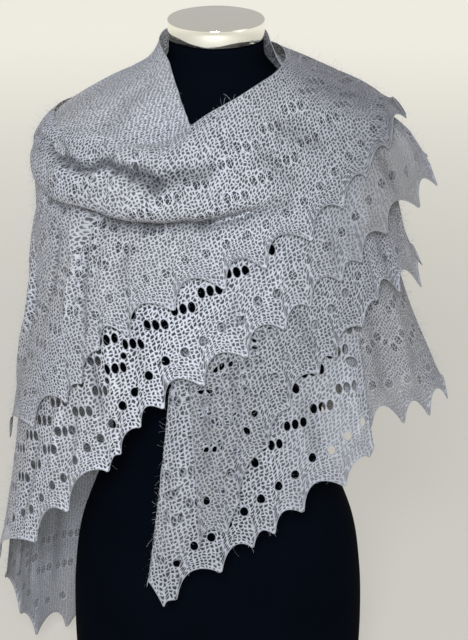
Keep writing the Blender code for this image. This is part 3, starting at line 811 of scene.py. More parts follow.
class Graph:
    """A material's node tree, with one method that adds any node."""

    def __init__(self, name):
        self.material = bpy.data.materials.new(name)
        self.material.use_nodes = True
        self.tree = self.material.node_tree
        self.tree.nodes.clear()

    def node(self, kind, settings=None, sockets=(), output=0):
        """Adds a node: its settings first, then its sockets' values or links, by number or by
        name."""
        made = self.tree.nodes.new(kind)
        for key, value in (settings or {}).items():
            setattr(made, key, value)
        pairs = sockets.items() if isinstance(sockets, dict) else enumerate(sockets)
        for key, value in pairs:
            if isinstance(value, Term):
                self.tree.links.new(value.socket, made.inputs[key])
            else:
                made.inputs[key].default_value = value
        return Term(self, made.outputs[output])

    def noise(self, place, scale, detail=2.0, rough=0.5, output="Fac"):
        sockets = {"Vector": place, "Scale": scale, "Detail": detail, "Roughness": rough}
        return self.node("ShaderNodeTexNoise", {}, sockets, output)

    def blend(self, share, first, second):
        """A colour part of the way between two colours."""
        made = self.tree.nodes.new("ShaderNodeMix")
        made.data_type = "RGBA"
        for key, value in ((0, share), (6, first), (7, second)):
            if isinstance(value, Term):
                self.tree.links.new(value.socket, made.inputs[key])
            else:
                made.inputs[key].default_value = value if key == 0 else (*value, 1.0)
        return Term(self, made.outputs[2])

    def ease(self, value, low, high):
        """0 below low and 1 above high, smoothly in between."""
        sockets = (value, low, high, 0.0, 1.0)
        return self.node("ShaderNodeMapRange", {"interpolation_type": "SMOOTHSTEP"}, sockets)

    def bump(self, height, distance, strength=1.0):
        sockets = {"Height": height, "Distance": distance, "Strength": strength}
        return self.node("ShaderNodeBump", {}, sockets)

    def attribute(self, name):
        return self.node("ShaderNodeAttribute", {"attribute_name": name}, (), "Fac")

    def place(self):
        """Where a point lies on its object, which is where it lies in the scene."""
        return self.node("ShaderNodeTexCoord", {}, (), "Object")

    def parts(self, vector):
        """The three numbers of a vector."""
        split = self.node("ShaderNodeSeparateXYZ", {}, (vector,))
        return [Term(self, output) for output in split.socket.node.outputs]

    def finish(self, **sockets):
        """Ends the tree in one principled shader, whose sockets are given by keyword."""
        named = {
            key.replace("_", " ").title().replace("Ior", "IOR"): value
            for key, value in sockets.items()
        }
        shader = self.node("ShaderNodeBsdfPrincipled", {}, named)
        leave = self.tree.nodes.new("ShaderNodeOutputMaterial")
        self.tree.links.new(shader.socket, leave.inputs["Surface"])
        return self.material


def paler(colour, times):
    """A colour so many times as bright, and no brighter than white."""
    return tuple(min(1.0, part * times) for part in colour)


# The knit's material. Noises by how many cells a metre has, then the pull that lets stitches wander,
# as a share of their width. The room in a stitch is 0 at its yarn and about 0.5 at its middle; the
# pairs say between which values of it a gap opens, a strand fades and a web crosses an eyelet.
DRIFT_SCALE, TONE_SCALE, FIBRE_SCALE, MOTTLE_SCALE = 130.0, 24.0, 1500.0, 5.0
WANDER = 1.1
ROOM_LEAST, ROOM_SPREAD = 0.74, 0.52
GAP_ROOM, STRAND_ROOM, WEB_ROOM = (0.17, 0.32), (0.05, 0.33), (0.02, 0.15)
RIM_EDGE = (0.55, 0.9)
DENSE_HEM, DENSE_HEM_SHARE = (1.0 * MM, 6.0 * MM), 0.3
# Below the first clearness a stretch is matted, and above the second open: a matted stretch has flatter
# strands and more of the warm grey as painted shade.
MATTED_AND_SHADED_CLEARNESS = (0.1, 0.4)
# The warm grey's painted shade at the sides sets in from the first distance either side of the middle
# and is full at the second.
SIDE_SHADE_START, SIDE_SHADE_END = 0.12, 0.24
# Shares of the yarn colour: painted shade in the gaps, standing for the shaded cloth behind them; the
# palest strands; and the web across a veiled eyelet, painted dark for the dark form and the shaded cloth
# seen through it.
PAINTED_GAP_SHADE, PALEST, EYELET_WEB_SHADE = 0.30, 1.36, 0.14


def mohair_knit_material(name, look):
    """Mohair knit: gaps between the stitches, soft rounded strands, mottled silver-grey, with painted
    shade in the gaps, at the sides and on matted stretches, and each stretch's painted light and shade.
    """
    graph = Graph(name)
    chart = graph.node("ShaderNodeUVMap", {"uv_map": CHART})
    knit = graph.node("ShaderNodeUVMap", {"uv_map": KNIT})
    from_hem = graph.parts(chart)[1]
    drift = graph.noise(knit, DRIFT_SCALE, 2.0, output="Color")
    centred = graph.node("ShaderNodeVectorMath", {"operation": "SUBTRACT"}, (drift, (0.5,) * 3))
    pull = (look.stitch_width * WANDER,) * 3
    moved = graph.node("ShaderNodeVectorMath", {"operation": "MULTIPLY_ADD"}, (centred, pull, knit))
    across, up, _ = graph.parts(moved)
    wale = across / look.stitch_width
    course = up / look.stitch_height - wale * look.stitch_lean
    cell = graph.node("ShaderNodeCombineXYZ", {}, (wale, course, 0.0))
    lattice = {"Vector": cell, "Scale": 1.0, "Randomness": look.stitch_unevenness}
    edge = {"voronoi_dimensions": "2D", "feature": "DISTANCE_TO_EDGE"}
    room = graph.node("ShaderNodeTexVoronoi", edge, lattice, "Distance")
    chance = graph.node("ShaderNodeTexVoronoi", {"voronoi_dimensions": "2D"}, lattice, "Color")
    dense = 1.0 - graph.ease(from_hem, *DENSE_HEM)
    room = room * (ROOM_LEAST + chance * ROOM_SPREAD) * (1.0 - dense * DENSE_HEM_SHARE)
    clearness, veil, rim, painted_shading = (
        graph.attribute(key) for key in ("clearness", "veil", "rim", "painted_shading")
    )
    rim = graph.ease(rim, *RIM_EDGE) * (1.0 - veil)
    gap = graph.ease(room, *GAP_ROOM) * (1.0 - rim)
    strand = 1.0 - graph.ease(room, *STRAND_ROOM) * (1.0 - rim)
    matted_and_shaded = 1.0 - graph.ease(clearness, *MATTED_AND_SHADED_CLEARNESS)
    strand = strand * (1.0 - matted_and_shaded * 0.5) + matted_and_shaded * 0.3
    tone = graph.noise(chart, TONE_SCALE, 2.0)
    fibre = graph.noise(chart, FIBRE_SCALE, 2.0, 0.6)
    level = strand * 0.7 + fibre * 0.35 + tone * 0.25
    colour = tuple(look.yarn_colour)
    # The gaps are painted dark, as the shade of the cloth behind them.
    base = graph.blend(
        graph.ease(level, 0.25, 1.0), paler(colour, PAINTED_GAP_SHADE), paler(colour, PALEST)
    )
    mottle = graph.ease(graph.noise(chart, MOTTLE_SCALE, 1.0), 0.4, 0.7)
    warm = graph.blend(mottle, base, tuple(look.mottle_and_painted_shade_colour))
    # Past its random mottling, the warm grey is painted shade: more of it towards the sides and on
    # matted stretches.
    side_shade = graph.ease(graph.parts(graph.place())[0].size(), SIDE_SHADE_START, SIDE_SHADE_END)
    base = graph.blend(0.25 + side_shade * 0.3 + matted_and_shaded * 0.3, base, warm)
    web = graph.ease(room, *WEB_ROOM)
    # The web across a veiled eyelet is painted dark for the dark form and the shaded cloth behind it.
    base = graph.blend(veil * web * 0.85, base, paler(colour, EYELET_WEB_SHADE))
    opening = (gap * (1.0 - veil) + veil * web * 0.8) * clearness * (0.75 + 0.25 * fibre)
    # Each stretch's painted light and shade, with that of its creases, brightens or darkens the colour.
    base = graph.node(
        "ShaderNodeVectorMath", {"operation": "SCALE"}, {"Vector": base, "Scale": painted_shading}
    )
    relief = graph.bump(strand + fibre * 0.22, look.stitch_relief)
    return graph.finish(
        base_color=base, roughness=0.82, alpha=1.0 - opening, normal=relief,
        sheen_weight=0.15, sheen_roughness=0.45, sheen_tint=(0.9, 0.9, 1.0, 1.0),
        specular_ior_level=0.25,
    )


def yarn_material(name, look):
    """A strand of mohair and silk, as along the hem and round the eyelets."""
    graph = Graph(name)
    place = graph.place()
    fibre = graph.noise(place, 900.0, 2.0, 0.6)
    mottle = graph.noise(place, 40.0, 1.0)
    colour = tuple(look.yarn_colour)
    level = fibre * 0.6 + mottle * 0.4
    base = graph.blend(graph.ease(level, 0.3, 0.75), paler(colour, 0.55), paler(colour, 0.86))
    relief = graph.bump(fibre, 0.3 * MM)
    return graph.finish(
        base_color=base, roughness=0.75, normal=relief, sheen_weight=0.3, specular_ior_level=0.3
    )


def halo_material(name, look):
    """Fine mohair hairs, half see-through."""
    graph = Graph(name)
    level = graph.noise(graph.place(), 60.0, 1.0)
    colour = tuple(look.yarn_colour)
    base = graph.blend(level, paler(colour, 1.05), paler(colour, 1.35))
    return graph.finish(
        base_color=base, roughness=0.55, alpha=look.halo_alpha, specular_ior_level=0.3
    )


# The jersey's ribs: their phase for a radian round the form and for a metre up it.
RIBS_ROUND, RIBS_UP = 900.0, 5200.0
LINT_SHARE, LINT_COLOUR = 0.04, (0.12, 0.12, 0.14)


def jersey_material(name, look):
    """Blue-black jersey with a fine knit."""
    graph = Graph(name)
    place = graph.place()
    x, y, z = graph.parts(place)
    turn = x.math("ARCTAN2", x, y)
    rib = (turn * RIBS_ROUND).wave().size() * (z * RIBS_UP).wave().size()
    lint = graph.ease(graph.noise(place, 420.0, 3.0, 0.7), 0.66, 0.8)
    cloud = graph.noise(place, 9.0, 2.0)
    colour = tuple(look.jersey_colour)
    base = graph.blend(cloud, paler(colour, 0.7), paler(colour, 1.5))
    base = graph.blend(lint * LINT_SHARE, base, LINT_COLOUR)
    relief = graph.bump(rib, 0.12 * MM, 0.6)
    return graph.finish(
        base_color=base, roughness=0.95, normal=relief, specular_ior_level=0.02
    )


def chrome_material(name, look):
    """Polished chrome with the faintest smears."""
    graph = Graph(name)
    place = graph.place()
    smear = graph.noise(place, 28.0, 3.0, 0.6)
    scratch = graph.noise(place, 160.0, 2.0, 0.5)
    base = graph.blend(smear, paler(look.chrome_colour, 0.94), paler(look.chrome_colour, 1.04))
    rough = 0.05 + graph.ease(smear, 0.4, 0.8) * 0.05 + scratch * 0.02
    return graph.finish(base_color=base, metallic=1.0, roughness=rough)


# The floor's painted shade is greyest up to the first distance from the form, and the floor is cream
# from the second on.
FLOOR_SHADE_REACH = (0.3, 7.0)
FLOOR_GLOW = 0.42


def floor_material(name, look):
    """Matt cream paint, a little greyer near the form as painted shade, and faintly lit from within."""
    graph = Graph(name)
    place = graph.place()
    away = graph.node("ShaderNodeVectorMath", {"operation": "LENGTH"}, (place,), "Value")
    colour = tuple(look.floor_colour)
    # Painted shade: the floor is greyer round the form.
    base = graph.blend(graph.ease(away, *FLOOR_SHADE_REACH), tuple(look.floor_shade_colour), colour)
    cloud = graph.noise(place, 1.2, 2.0)
    base = graph.blend(cloud * 0.04, base, paler(colour, 0.8))
    return graph.finish(
        base_color=base, roughness=0.95, specular_ior_level=0.1,
        emission_color=(*colour, 1.0), emission_strength=FLOOR_GLOW,
    )


def add_object(name, mesh, material):
    """Links a mesh at the origin, with its one material."""
    mesh.materials.clear()
    mesh.materials.append(material)
    obj = bpy.data.objects.new(name, mesh)
    bpy.context.scene.collection.objects.link(obj)
    return obj


def material_for(key, make, look):
    """The material of that name, made the first time that it is asked for."""
    return bpy.data.materials.get(key) or make(key, look)


class Repeats:
    """A Geometry Nodes tree with named inputs, which ends in Realize Instances and Set Material."""

    def __init__(self, name):
        self.tree = bpy.data.node_groups.new(name, "GeometryNodeTree")
        self.sockets = {}
        self.input("Geometry", "NodeSocketGeometry", None)
        self.tree.interface.new_socket(
            name="Geometry", in_out="OUTPUT", socket_type="NodeSocketGeometry"
        )
        self.entry = self.tree.nodes.new("NodeGroupInput")

    def input(self, name, kind, default):
        socket = self.tree.interface.new_socket(name=name, in_out="INPUT", socket_type=kind)
        if default is not None:
            socket.default_value = default
        self.sockets[name] = socket

    def given(self, name):
        return self.entry.outputs[name]

    def node(self, kind, settings=None, sockets=(), output=0):
        made = self.tree.nodes.new(kind)
        for key, value in (settings or {}).items():
            setattr(made, key, value)
        pairs = sockets.items() if isinstance(sockets, dict) else enumerate(sockets)
        for key, value in pairs:
            if isinstance(value, bpy.types.NodeSocket):
                self.tree.links.new(value, made.inputs[key])
            else:
                made.inputs[key].default_value = value
        return made.outputs[output]

    def end(self, geometry, material):
        real = self.node("GeometryNodeRealizeInstances", {}, (geometry,))
        dressed = self.node(
            "GeometryNodeSetMaterial", {}, {"Geometry": real, "Material": material}
        )
        leave = self.tree.nodes.new("NodeGroupOutput")
        self.tree.links.new(dressed, leave.inputs["Geometry"])

    def grow(self, name, source, material, **values):
        """The tree's result on a piece, as a plain mesh of its own."""
        carrier = bpy.data.objects.new(name + "_source", source.data)
        bpy.context.scene.collection.objects.link(carrier)
        modifier = carrier.modifiers.new("repeats", "NODES")
        modifier.node_group = self.tree
        for key, value in values.items():
            modifier[self.sockets[key.replace("_", " ")].identifier] = value
        graph = bpy.context.evaluated_depsgraph_get()
        mesh = bpy.data.meshes.new_from_object(carrier.evaluated_get(graph))
        bpy.data.objects.remove(carrier)
        mesh.name = name
        return add_object(name, mesh, material)


def edging_tree(material):
    """A strand of yarn along every free edge of the cloth: hem, sides and eyelets."""
    made = Repeats("yarn_edging")
    made.input("yarn radius", "NodeSocketFloat", 0.6 * MM)
    sides = made.node("GeometryNodeInputMeshEdgeNeighbors")
    free = made.node(
        "FunctionNodeCompare", {"data_type": "INT", "operation": "EQUAL"}, {"A": sides, "B": 1}
    )
    line = made.node("GeometryNodeMeshToCurve", {}, {0: made.given("Geometry"), 1: free})
    thick = made.node("GeometryNodeInputNamedAttribute", {"data_type": "FLOAT"}, {"Name": "yarn"})
    line = made.node("GeometryNodeSetCurveRadius", {}, {"Curve": line, "Radius": thick})
    ring = made.node(
        "GeometryNodeCurvePrimitiveCircle", {},
        {"Resolution": 4, "Radius": made.given("yarn radius")},
    )
    tube = made.node("GeometryNodeCurveToMesh", {}, {0: line, 1: ring})
    made.end(tube, material)
    return made


def halo_tree(material):
    """Loose mohair hairs over the cloth, bent and leaning every way."""
    made = Repeats("mohair_halo")
    made.input("hairs", "NodeSocketFloat", 20000.0)
    made.input("hair length", "NodeSocketFloat", 9 * MM)
    made.input("hair width", "NodeSocketFloat", 0.13 * MM)
    made.input("seed", "NodeSocketInt", 1)
    scatter = made.node(
        "GeometryNodeDistributePointsOnFaces", {},
        {"Mesh": made.given("Geometry"), "Density": made.given("hairs"),
         "Seed": made.given("seed")},
    )
    hair = made.node(
        "GeometryNodeCurveQuadraticBezier", {},
        {"Resolution": 3, "Start": (0, 0, 0), "Middle": (0.12, 0, 0.55), "End": (0.5, 0, 0.86)},
    )
    length = made.given("hair length")
    grown = made.node("ShaderNodeCombineXYZ", {}, (length, length, length))
    hair = made.node("GeometryNodeTransform", {}, {"Geometry": hair, "Scale": grown})
    flat = made.node("GeometryNodeCurvePrimitiveLine", {}, {"Start": (0, 0, 0), "End": (0, 1, 0)})
    width = made.given("hair width")
    narrow = made.node("ShaderNodeCombineXYZ", {}, (width, width, width))
    flat = made.node("GeometryNodeTransform", {}, {"Geometry": flat, "Scale": narrow})
    strip = made.node("GeometryNodeCurveToMesh", {}, {0: hair, 1: flat})
    lean = made.node(
        "FunctionNodeRandomValue", {"data_type": "FLOAT_VECTOR"},
        {0: (-1.25, -1.25, 0.0), 1: (1.25, 1.25, 2 * math.pi), "Seed": 3},
    )
    turned = made.node(
        "FunctionNodeRotateRotation", {"rotation_space": "LOCAL"},
        {0: scatter.node.outputs["Rotation"],
         1: made.node("FunctionNodeEulerToRotation", {}, (lean,))},
    )
    size = made.node(
        "FunctionNodeRandomValue", {"data_type": "FLOAT"}, {2: 0.0, 3: 1.0, "Seed": 5}, 1
    )
    size = made.node("ShaderNodeMath", {"operation": "POWER"}, (size, 2.2))
    size = made.node("ShaderNodeMath", {"operation": "MULTIPLY_ADD"}, (size, 1.35, 0.35))
    hairs = made.node(
        "GeometryNodeInstanceOnPoints", {},
        {"Points": scatter, "Instance": strip, "Rotation": turned, "Scale": size},
    )
    made.end(hairs, material)
    return made


# Each stretch of cloth: its table, its creases, how far up its lace is repeated (mm), how clear the
# gaps between its stitches are at its left and at its right, how large its stitches are and how much
# painted light or shade brightens or darkens it, again at its left and right, between which places
# fluff veils its eyelets, and the CAD nodes that it stands for.
STRETCHES = {
    "top_wrap": dict(
        rows=TOP_WRAP, creases=TOP_WRAP_CREASES, lifts=(0, 110), clearness=(0.5, 0.15), gauge=1.0,
        painted_shading=(0.98, 0.44), veiled=(-1, 21), nodes=("top_wrap_left", "top_wrap", "top_wrap_back")),
    "second_wrap": dict(
        rows=SECOND_WRAP, creases=SECOND_WRAP_CREASES, lifts=(0, 110), clearness=(0.8, 0.15), gauge=1.15,
        painted_shading=(1.14, 0.66), veiled=(14, 23), nodes=("second_wrap_left", "second_wrap")),
    "front_pleat": dict(
        rows=FRONT_PLEAT, creases=FRONT_PLEAT_CREASES, lifts=(0,), clearness=(0.5, 0.4), gauge=1.1,
        painted_shading=(0.72, 0.72), veiled=(7, 8), nodes=("front_pleat",)),
    "front_end": dict(
        rows=FRONT_END, creases=FRONT_END_CREASES, lifts=(0, 110), clearness=(0.75, 0.2), gauge=1.2,
        painted_shading=(0.82, 0.82), veiled=(-1, 2), nodes=("front_end",)),
    "back_upper": dict(
        rows=BACK_UPPER, creases=BACK_UPPER_CREASES, lifts=(0, 110, 220), clearness=(0.28, 0.12),
        gauge=1.0, painted_shading=(0.75, 0.9), veiled=(-1, 14), nodes=("back_upper",)),
    "back_lower": dict(
        rows=BACK_LOWER, creases=BACK_LOWER_CREASES, lifts=(0, 110, 220), clearness=(0.3, 0.12),
        gauge=0.9, painted_shading=(0.82, 0.96), veiled=(-1, 18), nodes=("back_lower",)),
    "collar": dict(
        rows=COLLAR, creases=COLLAR_CREASES, lifts=(), clearness=(0.3, 0.3), gauge=1.0,
        painted_shading=(1.05, 1.05), veiled=(-1, 14), nodes=("collar",)),
}


def add_stretch(node, look):
    """One stretch of the shawl: its lace, the yarn along its edges and its mohair halo."""
    parts = STRETCHES[node]
    stretch = Stretch(parts["rows"], node != "collar", parts["creases"])
    lace = material_for("mohair_knit", mohair_knit_material, look)
    yarn = material_for("edge_yarn", yarn_material, look)
    halo = material_for("loose_mohair", halo_material, look)
    mesh, area = sheet_mesh("lace_" + node, stretch, look.mesh_spacing, parts)
    sheet = add_object("lace_" + node, mesh, lace)
    edging = edging_tree(yarn).grow("edging_" + node, sheet, yarn, yarn_radius=look.yarn_radius)
    seed = sorted(STRETCHES).index(node) + 1
    hairs = halo_tree(halo).grow(
        "halo_" + node, sheet, halo, hairs=look.halo_density, hair_length=look.halo_length,
        hair_width=look.halo_width, seed=seed,
    )
    for piece in (sheet, edging, hairs):
        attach(piece, BODY)
    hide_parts(*parts["nodes"])


# The dress form: rings of the torso, as in the model's source.
FORM_COLUMNS = ("height", "side", "front", "back")
FORM_RINGS = (
    (0.000, 0.176, 0.112, 0.118),
    (0.065, 0.179, 0.117, 0.125),
    (0.119, 0.1804, 0.118, 0.127),
    (0.185, 0.178, 0.116, 0.124),
    (0.245, 0.169, 0.110, 0.116),
    (0.300, 0.149, 0.101, 0.102),
    (0.350, 0.130, 0.094, 0.091),
    (0.395, 0.128, 0.095, 0.088),
    (0.455, 0.139, 0.107, 0.093),
    (0.519, 0.152, 0.122, 0.098),
    (0.580, 0.158, 0.120, 0.103),
    (0.640, 0.171, 0.104, 0.106),
    (0.690, 0.188, 0.092, 0.105),
    (0.722, 0.190, 0.086, 0.100),
    (0.744, 0.176, 0.081, 0.095),
    (0.765, 0.142, 0.074, 0.087),
    (0.784, 0.104, 0.067, 0.077),
    (0.799, 0.074, 0.061, 0.067),
    (0.815, 0.058, 0.057, 0.060),
    (0.837, 0.0545, 0.0545, 0.0545),
)
FORM_EASE = 0.8 * MM
FORM_SIDES = 112
FORM_ROWS = 150
TILT_START = 0.79
CAP_TILT = math.radians(8)
CAP_GAP = 0.3 * MM
CAP_SIDES = 128

# The cap's section from its flat bottom to its flat top: radius and height in mm.
CAP_PROFILE = (
    (50.0, 0.0),
    (53.4, 0.25),
    (54.9, 1.1),
    (55.5, 2.5),
    (55.5, 20.6),
    (55.2, 21.8),
    (54.4, 22.7),
    (53.2, 23.0),
)


def ring_mesh(name, rings):
    """A closed skin over rings of points, one above the other."""
    sides = len(rings[0])
    points = [tuple(p) for ring in rings for p in ring]
    faces = [list(range(sides))[::-1]]
    for ring in range(len(rings) - 1):
        for k in range(sides):
            here, beside = ring * sides + k, ring * sides + (k + 1) % sides
            faces.append([here, beside, beside + sides, here + sides])
    faces.append([len(points) - sides + k for k in range(sides)])
    mesh = bpy.data.meshes.new(name)
    mesh.from_pydata(points, [], faces)
    mesh.shade_smooth()
    mesh.set_sharp_from_angle(angle=math.radians(40))
    return mesh


def torso_rings():
    heights = column(FORM_RINGS, FORM_COLUMNS, "height")
    turns = np.linspace(0, 2 * math.pi, FORM_SIDES, endpoint=False)
    rings = []
    for height in np.linspace(0, heights[-1], FORM_ROWS):
        side, front, back = (
            smooth(heights, column(FORM_RINGS, FORM_COLUMNS, name), height)
            for name in FORM_COLUMNS[1:]
        )
        reach = rounded_radius(turns, side, np.where(np.cos(turns) > 0, front, back)) - FORM_EASE
        x, y = reach * np.sin(turns), -reach * np.cos(turns)
        tilt = max(0.0, (height - TILT_START) / (heights[-1] - TILT_START))
        rings.append(np.stack([x, y, height + tilt * y * math.tan(CAP_TILT)], -1))
    return rings


def cap_rings():
    turns = np.linspace(0, 2 * math.pi, CAP_SIDES, endpoint=False)
    base = np.array([0, 0, FORM_RINGS[-1][0]])
    lean = np.array([0, -math.sin(CAP_TILT), math.cos(CAP_TILT)])
    forward = np.array([0, math.cos(CAP_TILT), math.sin(CAP_TILT)])
    rings = []
    for radius, height in CAP_PROFILE:
        centre = base + lean * (CAP_GAP + height * MM)
        spin = np.outer(np.cos(turns), (1, 0, 0)) + np.outer(np.sin(turns), forward)
        rings.append(centre + spin * radius * MM)
    return rings


class ShawlLook(bpy.types.PropertyGroup):
    """Sizes and colours of the knitted lace."""

    stitch_width: bpy.props.FloatProperty(
        name="Stitch width", description="Width of a stitch across the course",
        default=4.4 * MM, unit="LENGTH")
    stitch_height: bpy.props.FloatProperty(
        name="Stitch height", description="Height of one course of stitches",
        default=4.1 * MM, unit="LENGTH")
    stitch_lean: bpy.props.FloatProperty(
        name="Stitch lean", description="How far the gaps between stitches lean", default=0.62)
    stitch_unevenness: bpy.props.FloatProperty(
        name="Stitch unevenness", description="How unlike each other the stitches are",
        default=0.55, min=0.0, max=1.0, subtype="FACTOR")
    stitch_relief: bpy.props.FloatProperty(
        name="Stitch relief", description="How far a strand stands up", default=1.1 * MM,
        unit="LENGTH")
    yarn_radius: bpy.props.FloatProperty(
        name="Yarn radius", description="Radius of the yarn round an eyelet", default=0.45 * MM,
        unit="LENGTH")
    mesh_spacing: bpy.props.FloatProperty(
        name="Mesh spacing", description="Distance between points of the cloth's mesh",
        default=4.6 * MM, unit="LENGTH")
    halo_density: bpy.props.FloatProperty(
        name="Halo density", description="Loose hairs on a square metre", default=48000.0)
    halo_length: bpy.props.FloatProperty(
        name="Halo length", description="Length of a loose hair", default=9 * MM, unit="LENGTH")
    halo_width: bpy.props.FloatProperty(
        name="Halo width", description="Width of a loose hair", default=0.24 * MM, unit="LENGTH")
    halo_alpha: bpy.props.FloatProperty(
        name="Halo cover", description="How solid a loose hair looks", default=0.5,
        min=0.0, max=1.0, subtype="FACTOR")
    yarn_colour: bpy.props.FloatVectorProperty(
        name="Yarn colour", description="Silver-grey of the yarn", subtype="COLOR",
        default=(0.292, 0.299, 0.332), min=0.0, max=1.0)
    # The warm grey serves for the random mottling, and as painted shade at the sides and on matted
    # stretches.
    mottle_and_painted_shade_colour: bpy.props.FloatVectorProperty(
        name="Shade colour", description="Warmer grey of the mottling", subtype="COLOR",
        default=(0.275, 0.262, 0.255), min=0.0, max=1.0)


class FormLook(bpy.types.PropertyGroup):
    """Colours of the dress form."""

    jersey_colour: bpy.props.FloatVectorProperty(
        name="Jersey colour", description="Blue-black of the form's cover", subtype="COLOR",
        default=(0.0009, 0.0016, 0.0036), min=0.0, max=1.0)
    chrome_colour: bpy.props.FloatVectorProperty(
        name="Chrome colour", description="Tint of the polished cap", subtype="COLOR",
        default=(1.0, 0.98, 0.90), min=0.0, max=1.0)


class StageLook(bpy.types.PropertyGroup):
    """The floor, the light and the camera."""

    floor_colour: bpy.props.FloatVectorProperty(
        name="Floor colour", description="Cream of the floor", subtype="COLOR",
        default=(0.93, 0.91, 0.83), min=0.0, max=1.0)
    # Painted shade on the floor round the form.
    floor_shade_colour: bpy.props.FloatVectorProperty(
        name="Near floor colour", description="Cream of the floor round the form",
        subtype="COLOR", default=(0.24, 0.23, 0.215), min=0.0, max=1.0)
    key_power: bpy.props.FloatProperty(
        name="Window light", description="Power of the large soft light", default=100.0,
        unit="POWER")
    fill_power: bpy.props.FloatProperty(
        name="Fill light", description="Power of the light from the right", default=3.0,
        unit="POWER")
    room_light: bpy.props.FloatProperty(
        name="Room light", description="Strength of the light all round", default=0.49)


class SHAWL_OT_dress_form(bpy.types.Operator):
    """Build the jersey torso"""

    bl_idname = "shawl.dress_form"
    bl_label = "Dress form"

    def execute(self, context):
        jersey = material_for("black_jersey", jersey_material, context.scene.form_look)
        form = add_object("dress_form", ring_mesh("dress_form", torso_rings()), jersey)
        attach(form, BODY)
        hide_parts("form_torso")
        return {"FINISHED"}


class SHAWL_OT_neck_cap(bpy.types.Operator):
    """Build the chrome cap on the neck"""

    bl_idname = "shawl.neck_cap"
    bl_label = "Neck cap"

    def execute(self, context):
        chrome = material_for("polished_chrome", chrome_material, context.scene.form_look)
        cap = add_object("chrome_cap", ring_mesh("chrome_cap", cap_rings()), chrome)
        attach(cap, BODY)
        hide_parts("neck_cap")
        return {"FINISHED"}


class SHAWL_OT_back_layers(bpy.types.Operator):
    """Knit the stretches that hang down the back, and the collar"""

    bl_idname = "shawl.back_layers"
    bl_label = "Back layers and collar"

    def execute(self, context):
        for node in ("back_lower", "back_upper", "collar"):
            add_stretch(node, context.scene.shawl_look)
        return {"FINISHED"}


class SHAWL_OT_front_layers(bpy.types.Operator):
    """Knit the crossed ends that hang in front"""

    bl_idname = "shawl.front_layers"
    bl_label = "Front layers"

    def execute(self, context):
        for node in ("front_end", "front_pleat"):
            add_stretch(node, context.scene.shawl_look)
        return {"FINISHED"}


class SHAWL_OT_wraps(bpy.types.Operator):
    """Knit the two outer wraps, with the cowl"""

    bl_idname = "shawl.wraps"
    bl_label = "Outer wraps"

    def execute(self, context):
        for node in ("second_wrap", "top_wrap"):
            add_stretch(node, context.scene.shawl_look)
        return {"FINISHED"}


FLOOR_SIZE = 60.0
CAMERA_TARGET = (0.0204, 0.0, 0.5)
CAMERA_DISTANCE = 2.0
CAMERA_ELEVATION = math.radians(17)
CAMERA_LENS_MM = 93.75
SENSOR_MM = 36.0
CHEST = (0.0, 0.0, 0.55)
WINDOW_PLACE, WINDOW_SIZE, WINDOW_COLOUR = (-0.1, -2.6, 1.65), 0.8, (0.9, 0.95, 1.0)
FILL_PLACE, FILL_SIZE, FILL_COLOUR = (1.9, -1.2, 1.2), 1.6, (1.0, 0.96, 0.9)
ROOM_COLOUR = (1.0, 0.985, 0.95, 1.0)


def add_area_light(name, place, size, power, colour):
    """A round soft light that faces the chest."""
    light = bpy.data.lights.new(name, "AREA")
    light.shape, light.size, light.energy, light.color = "DISK", size, power, colour
    obj = bpy.data.objects.new(name, light)
    bpy.context.scene.collection.objects.link(obj)
    obj.location = place
    obj.rotation_euler = (Vector(place) - Vector(CHEST)).to_track_quat("Z", "Y").to_euler()


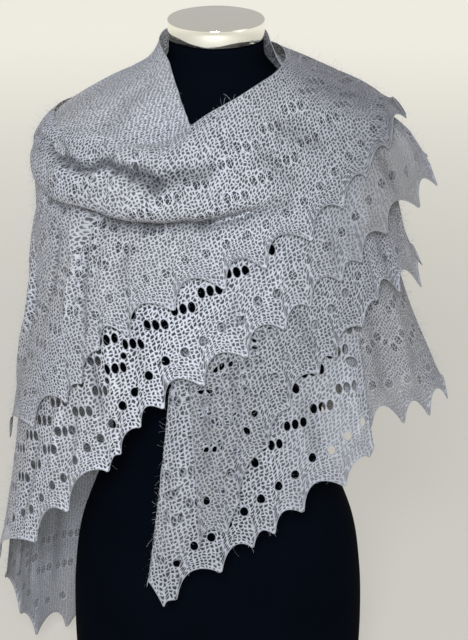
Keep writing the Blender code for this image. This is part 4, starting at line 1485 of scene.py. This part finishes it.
class SHAWL_OT_stage(bpy.types.Operator):
    """Set the pale floor, the soft light and the camera"""

    bl_idname = "shawl.stage"
    bl_label = "Stage"

    def execute(self, context):
        look = context.scene.stage_look
        half = FLOOR_SIZE / 2
        mesh = bpy.data.meshes.new("floor")
        corners = [(-half, -half, 0), (half, -half, 0), (half, half, 0), (-half, half, 0)]
        mesh.from_pydata(corners, [], [(0, 1, 2, 3)])
        add_object("floor", mesh, material_for("floor_paint", floor_material, look))
        world = bpy.data.worlds.new("room")
        context.scene.world = world
        world.use_nodes = True
        background = world.node_tree.nodes["Background"]
        background.inputs["Color"].default_value = ROOM_COLOUR
        background.inputs["Strength"].default_value = look.room_light
        add_area_light("window", WINDOW_PLACE, WINDOW_SIZE, look.key_power, WINDOW_COLOUR)
        add_area_light("fill", FILL_PLACE, FILL_SIZE, look.fill_power, FILL_COLOUR)
        camera = bpy.data.cameras.new("camera")
        camera.lens, camera.sensor_width = CAMERA_LENS_MM, SENSOR_MM
        obj = bpy.data.objects.new("camera", camera)
        context.scene.collection.objects.link(obj)
        back = Vector((0, -math.cos(CAMERA_ELEVATION), math.sin(CAMERA_ELEVATION)))
        obj.location = Vector(CAMERA_TARGET) + back * CAMERA_DISTANCE
        obj.rotation_euler = back.to_track_quat("Z", "Y").to_euler()
        context.scene.camera = obj
        context.scene.view_settings.view_transform = "Standard"
        return {"FINISHED"}


STEPS = (
    SHAWL_OT_stage,
    SHAWL_OT_dress_form,
    SHAWL_OT_neck_cap,
    SHAWL_OT_back_layers,
    SHAWL_OT_front_layers,
    SHAWL_OT_wraps,
)
LOOKS = {"shawl_look": ShawlLook, "form_look": FormLook, "stage_look": StageLook}


class SHAWL_PT_panel(bpy.types.Panel):
    """Lists the steps and the looks"""

    bl_idname = "SHAWL_PT_panel"
    bl_label = "Shawl"
    bl_space_type = "VIEW_3D"
    bl_region_type = "UI"
    bl_category = "Shawl"

    def draw(self, context):
        for step in STEPS:
            self.layout.operator(step.bl_idname)
        for name, look in LOOKS.items():
            box = self.layout.box()
            for prop in look.__annotations__:
                box.prop(getattr(context.scene, name), prop)


def register():
    for made in (*LOOKS.values(), *STEPS, SHAWL_PT_panel):
        bpy.utils.register_class(made)
    for name, look in LOOKS.items():
        setattr(bpy.types.Scene, name, bpy.props.PointerProperty(type=look))


def unregister():
    for name in LOOKS:
        delattr(bpy.types.Scene, name)
    for made in (SHAWL_PT_panel, *STEPS[::-1], *LOOKS.values()):
        bpy.utils.unregister_class(made)


def main():
    register()
    for step in STEPS:
        group, name = step.bl_idname.split(".")
        getattr(getattr(bpy.ops, group), name)()


if __name__ == "__main__":
    main()
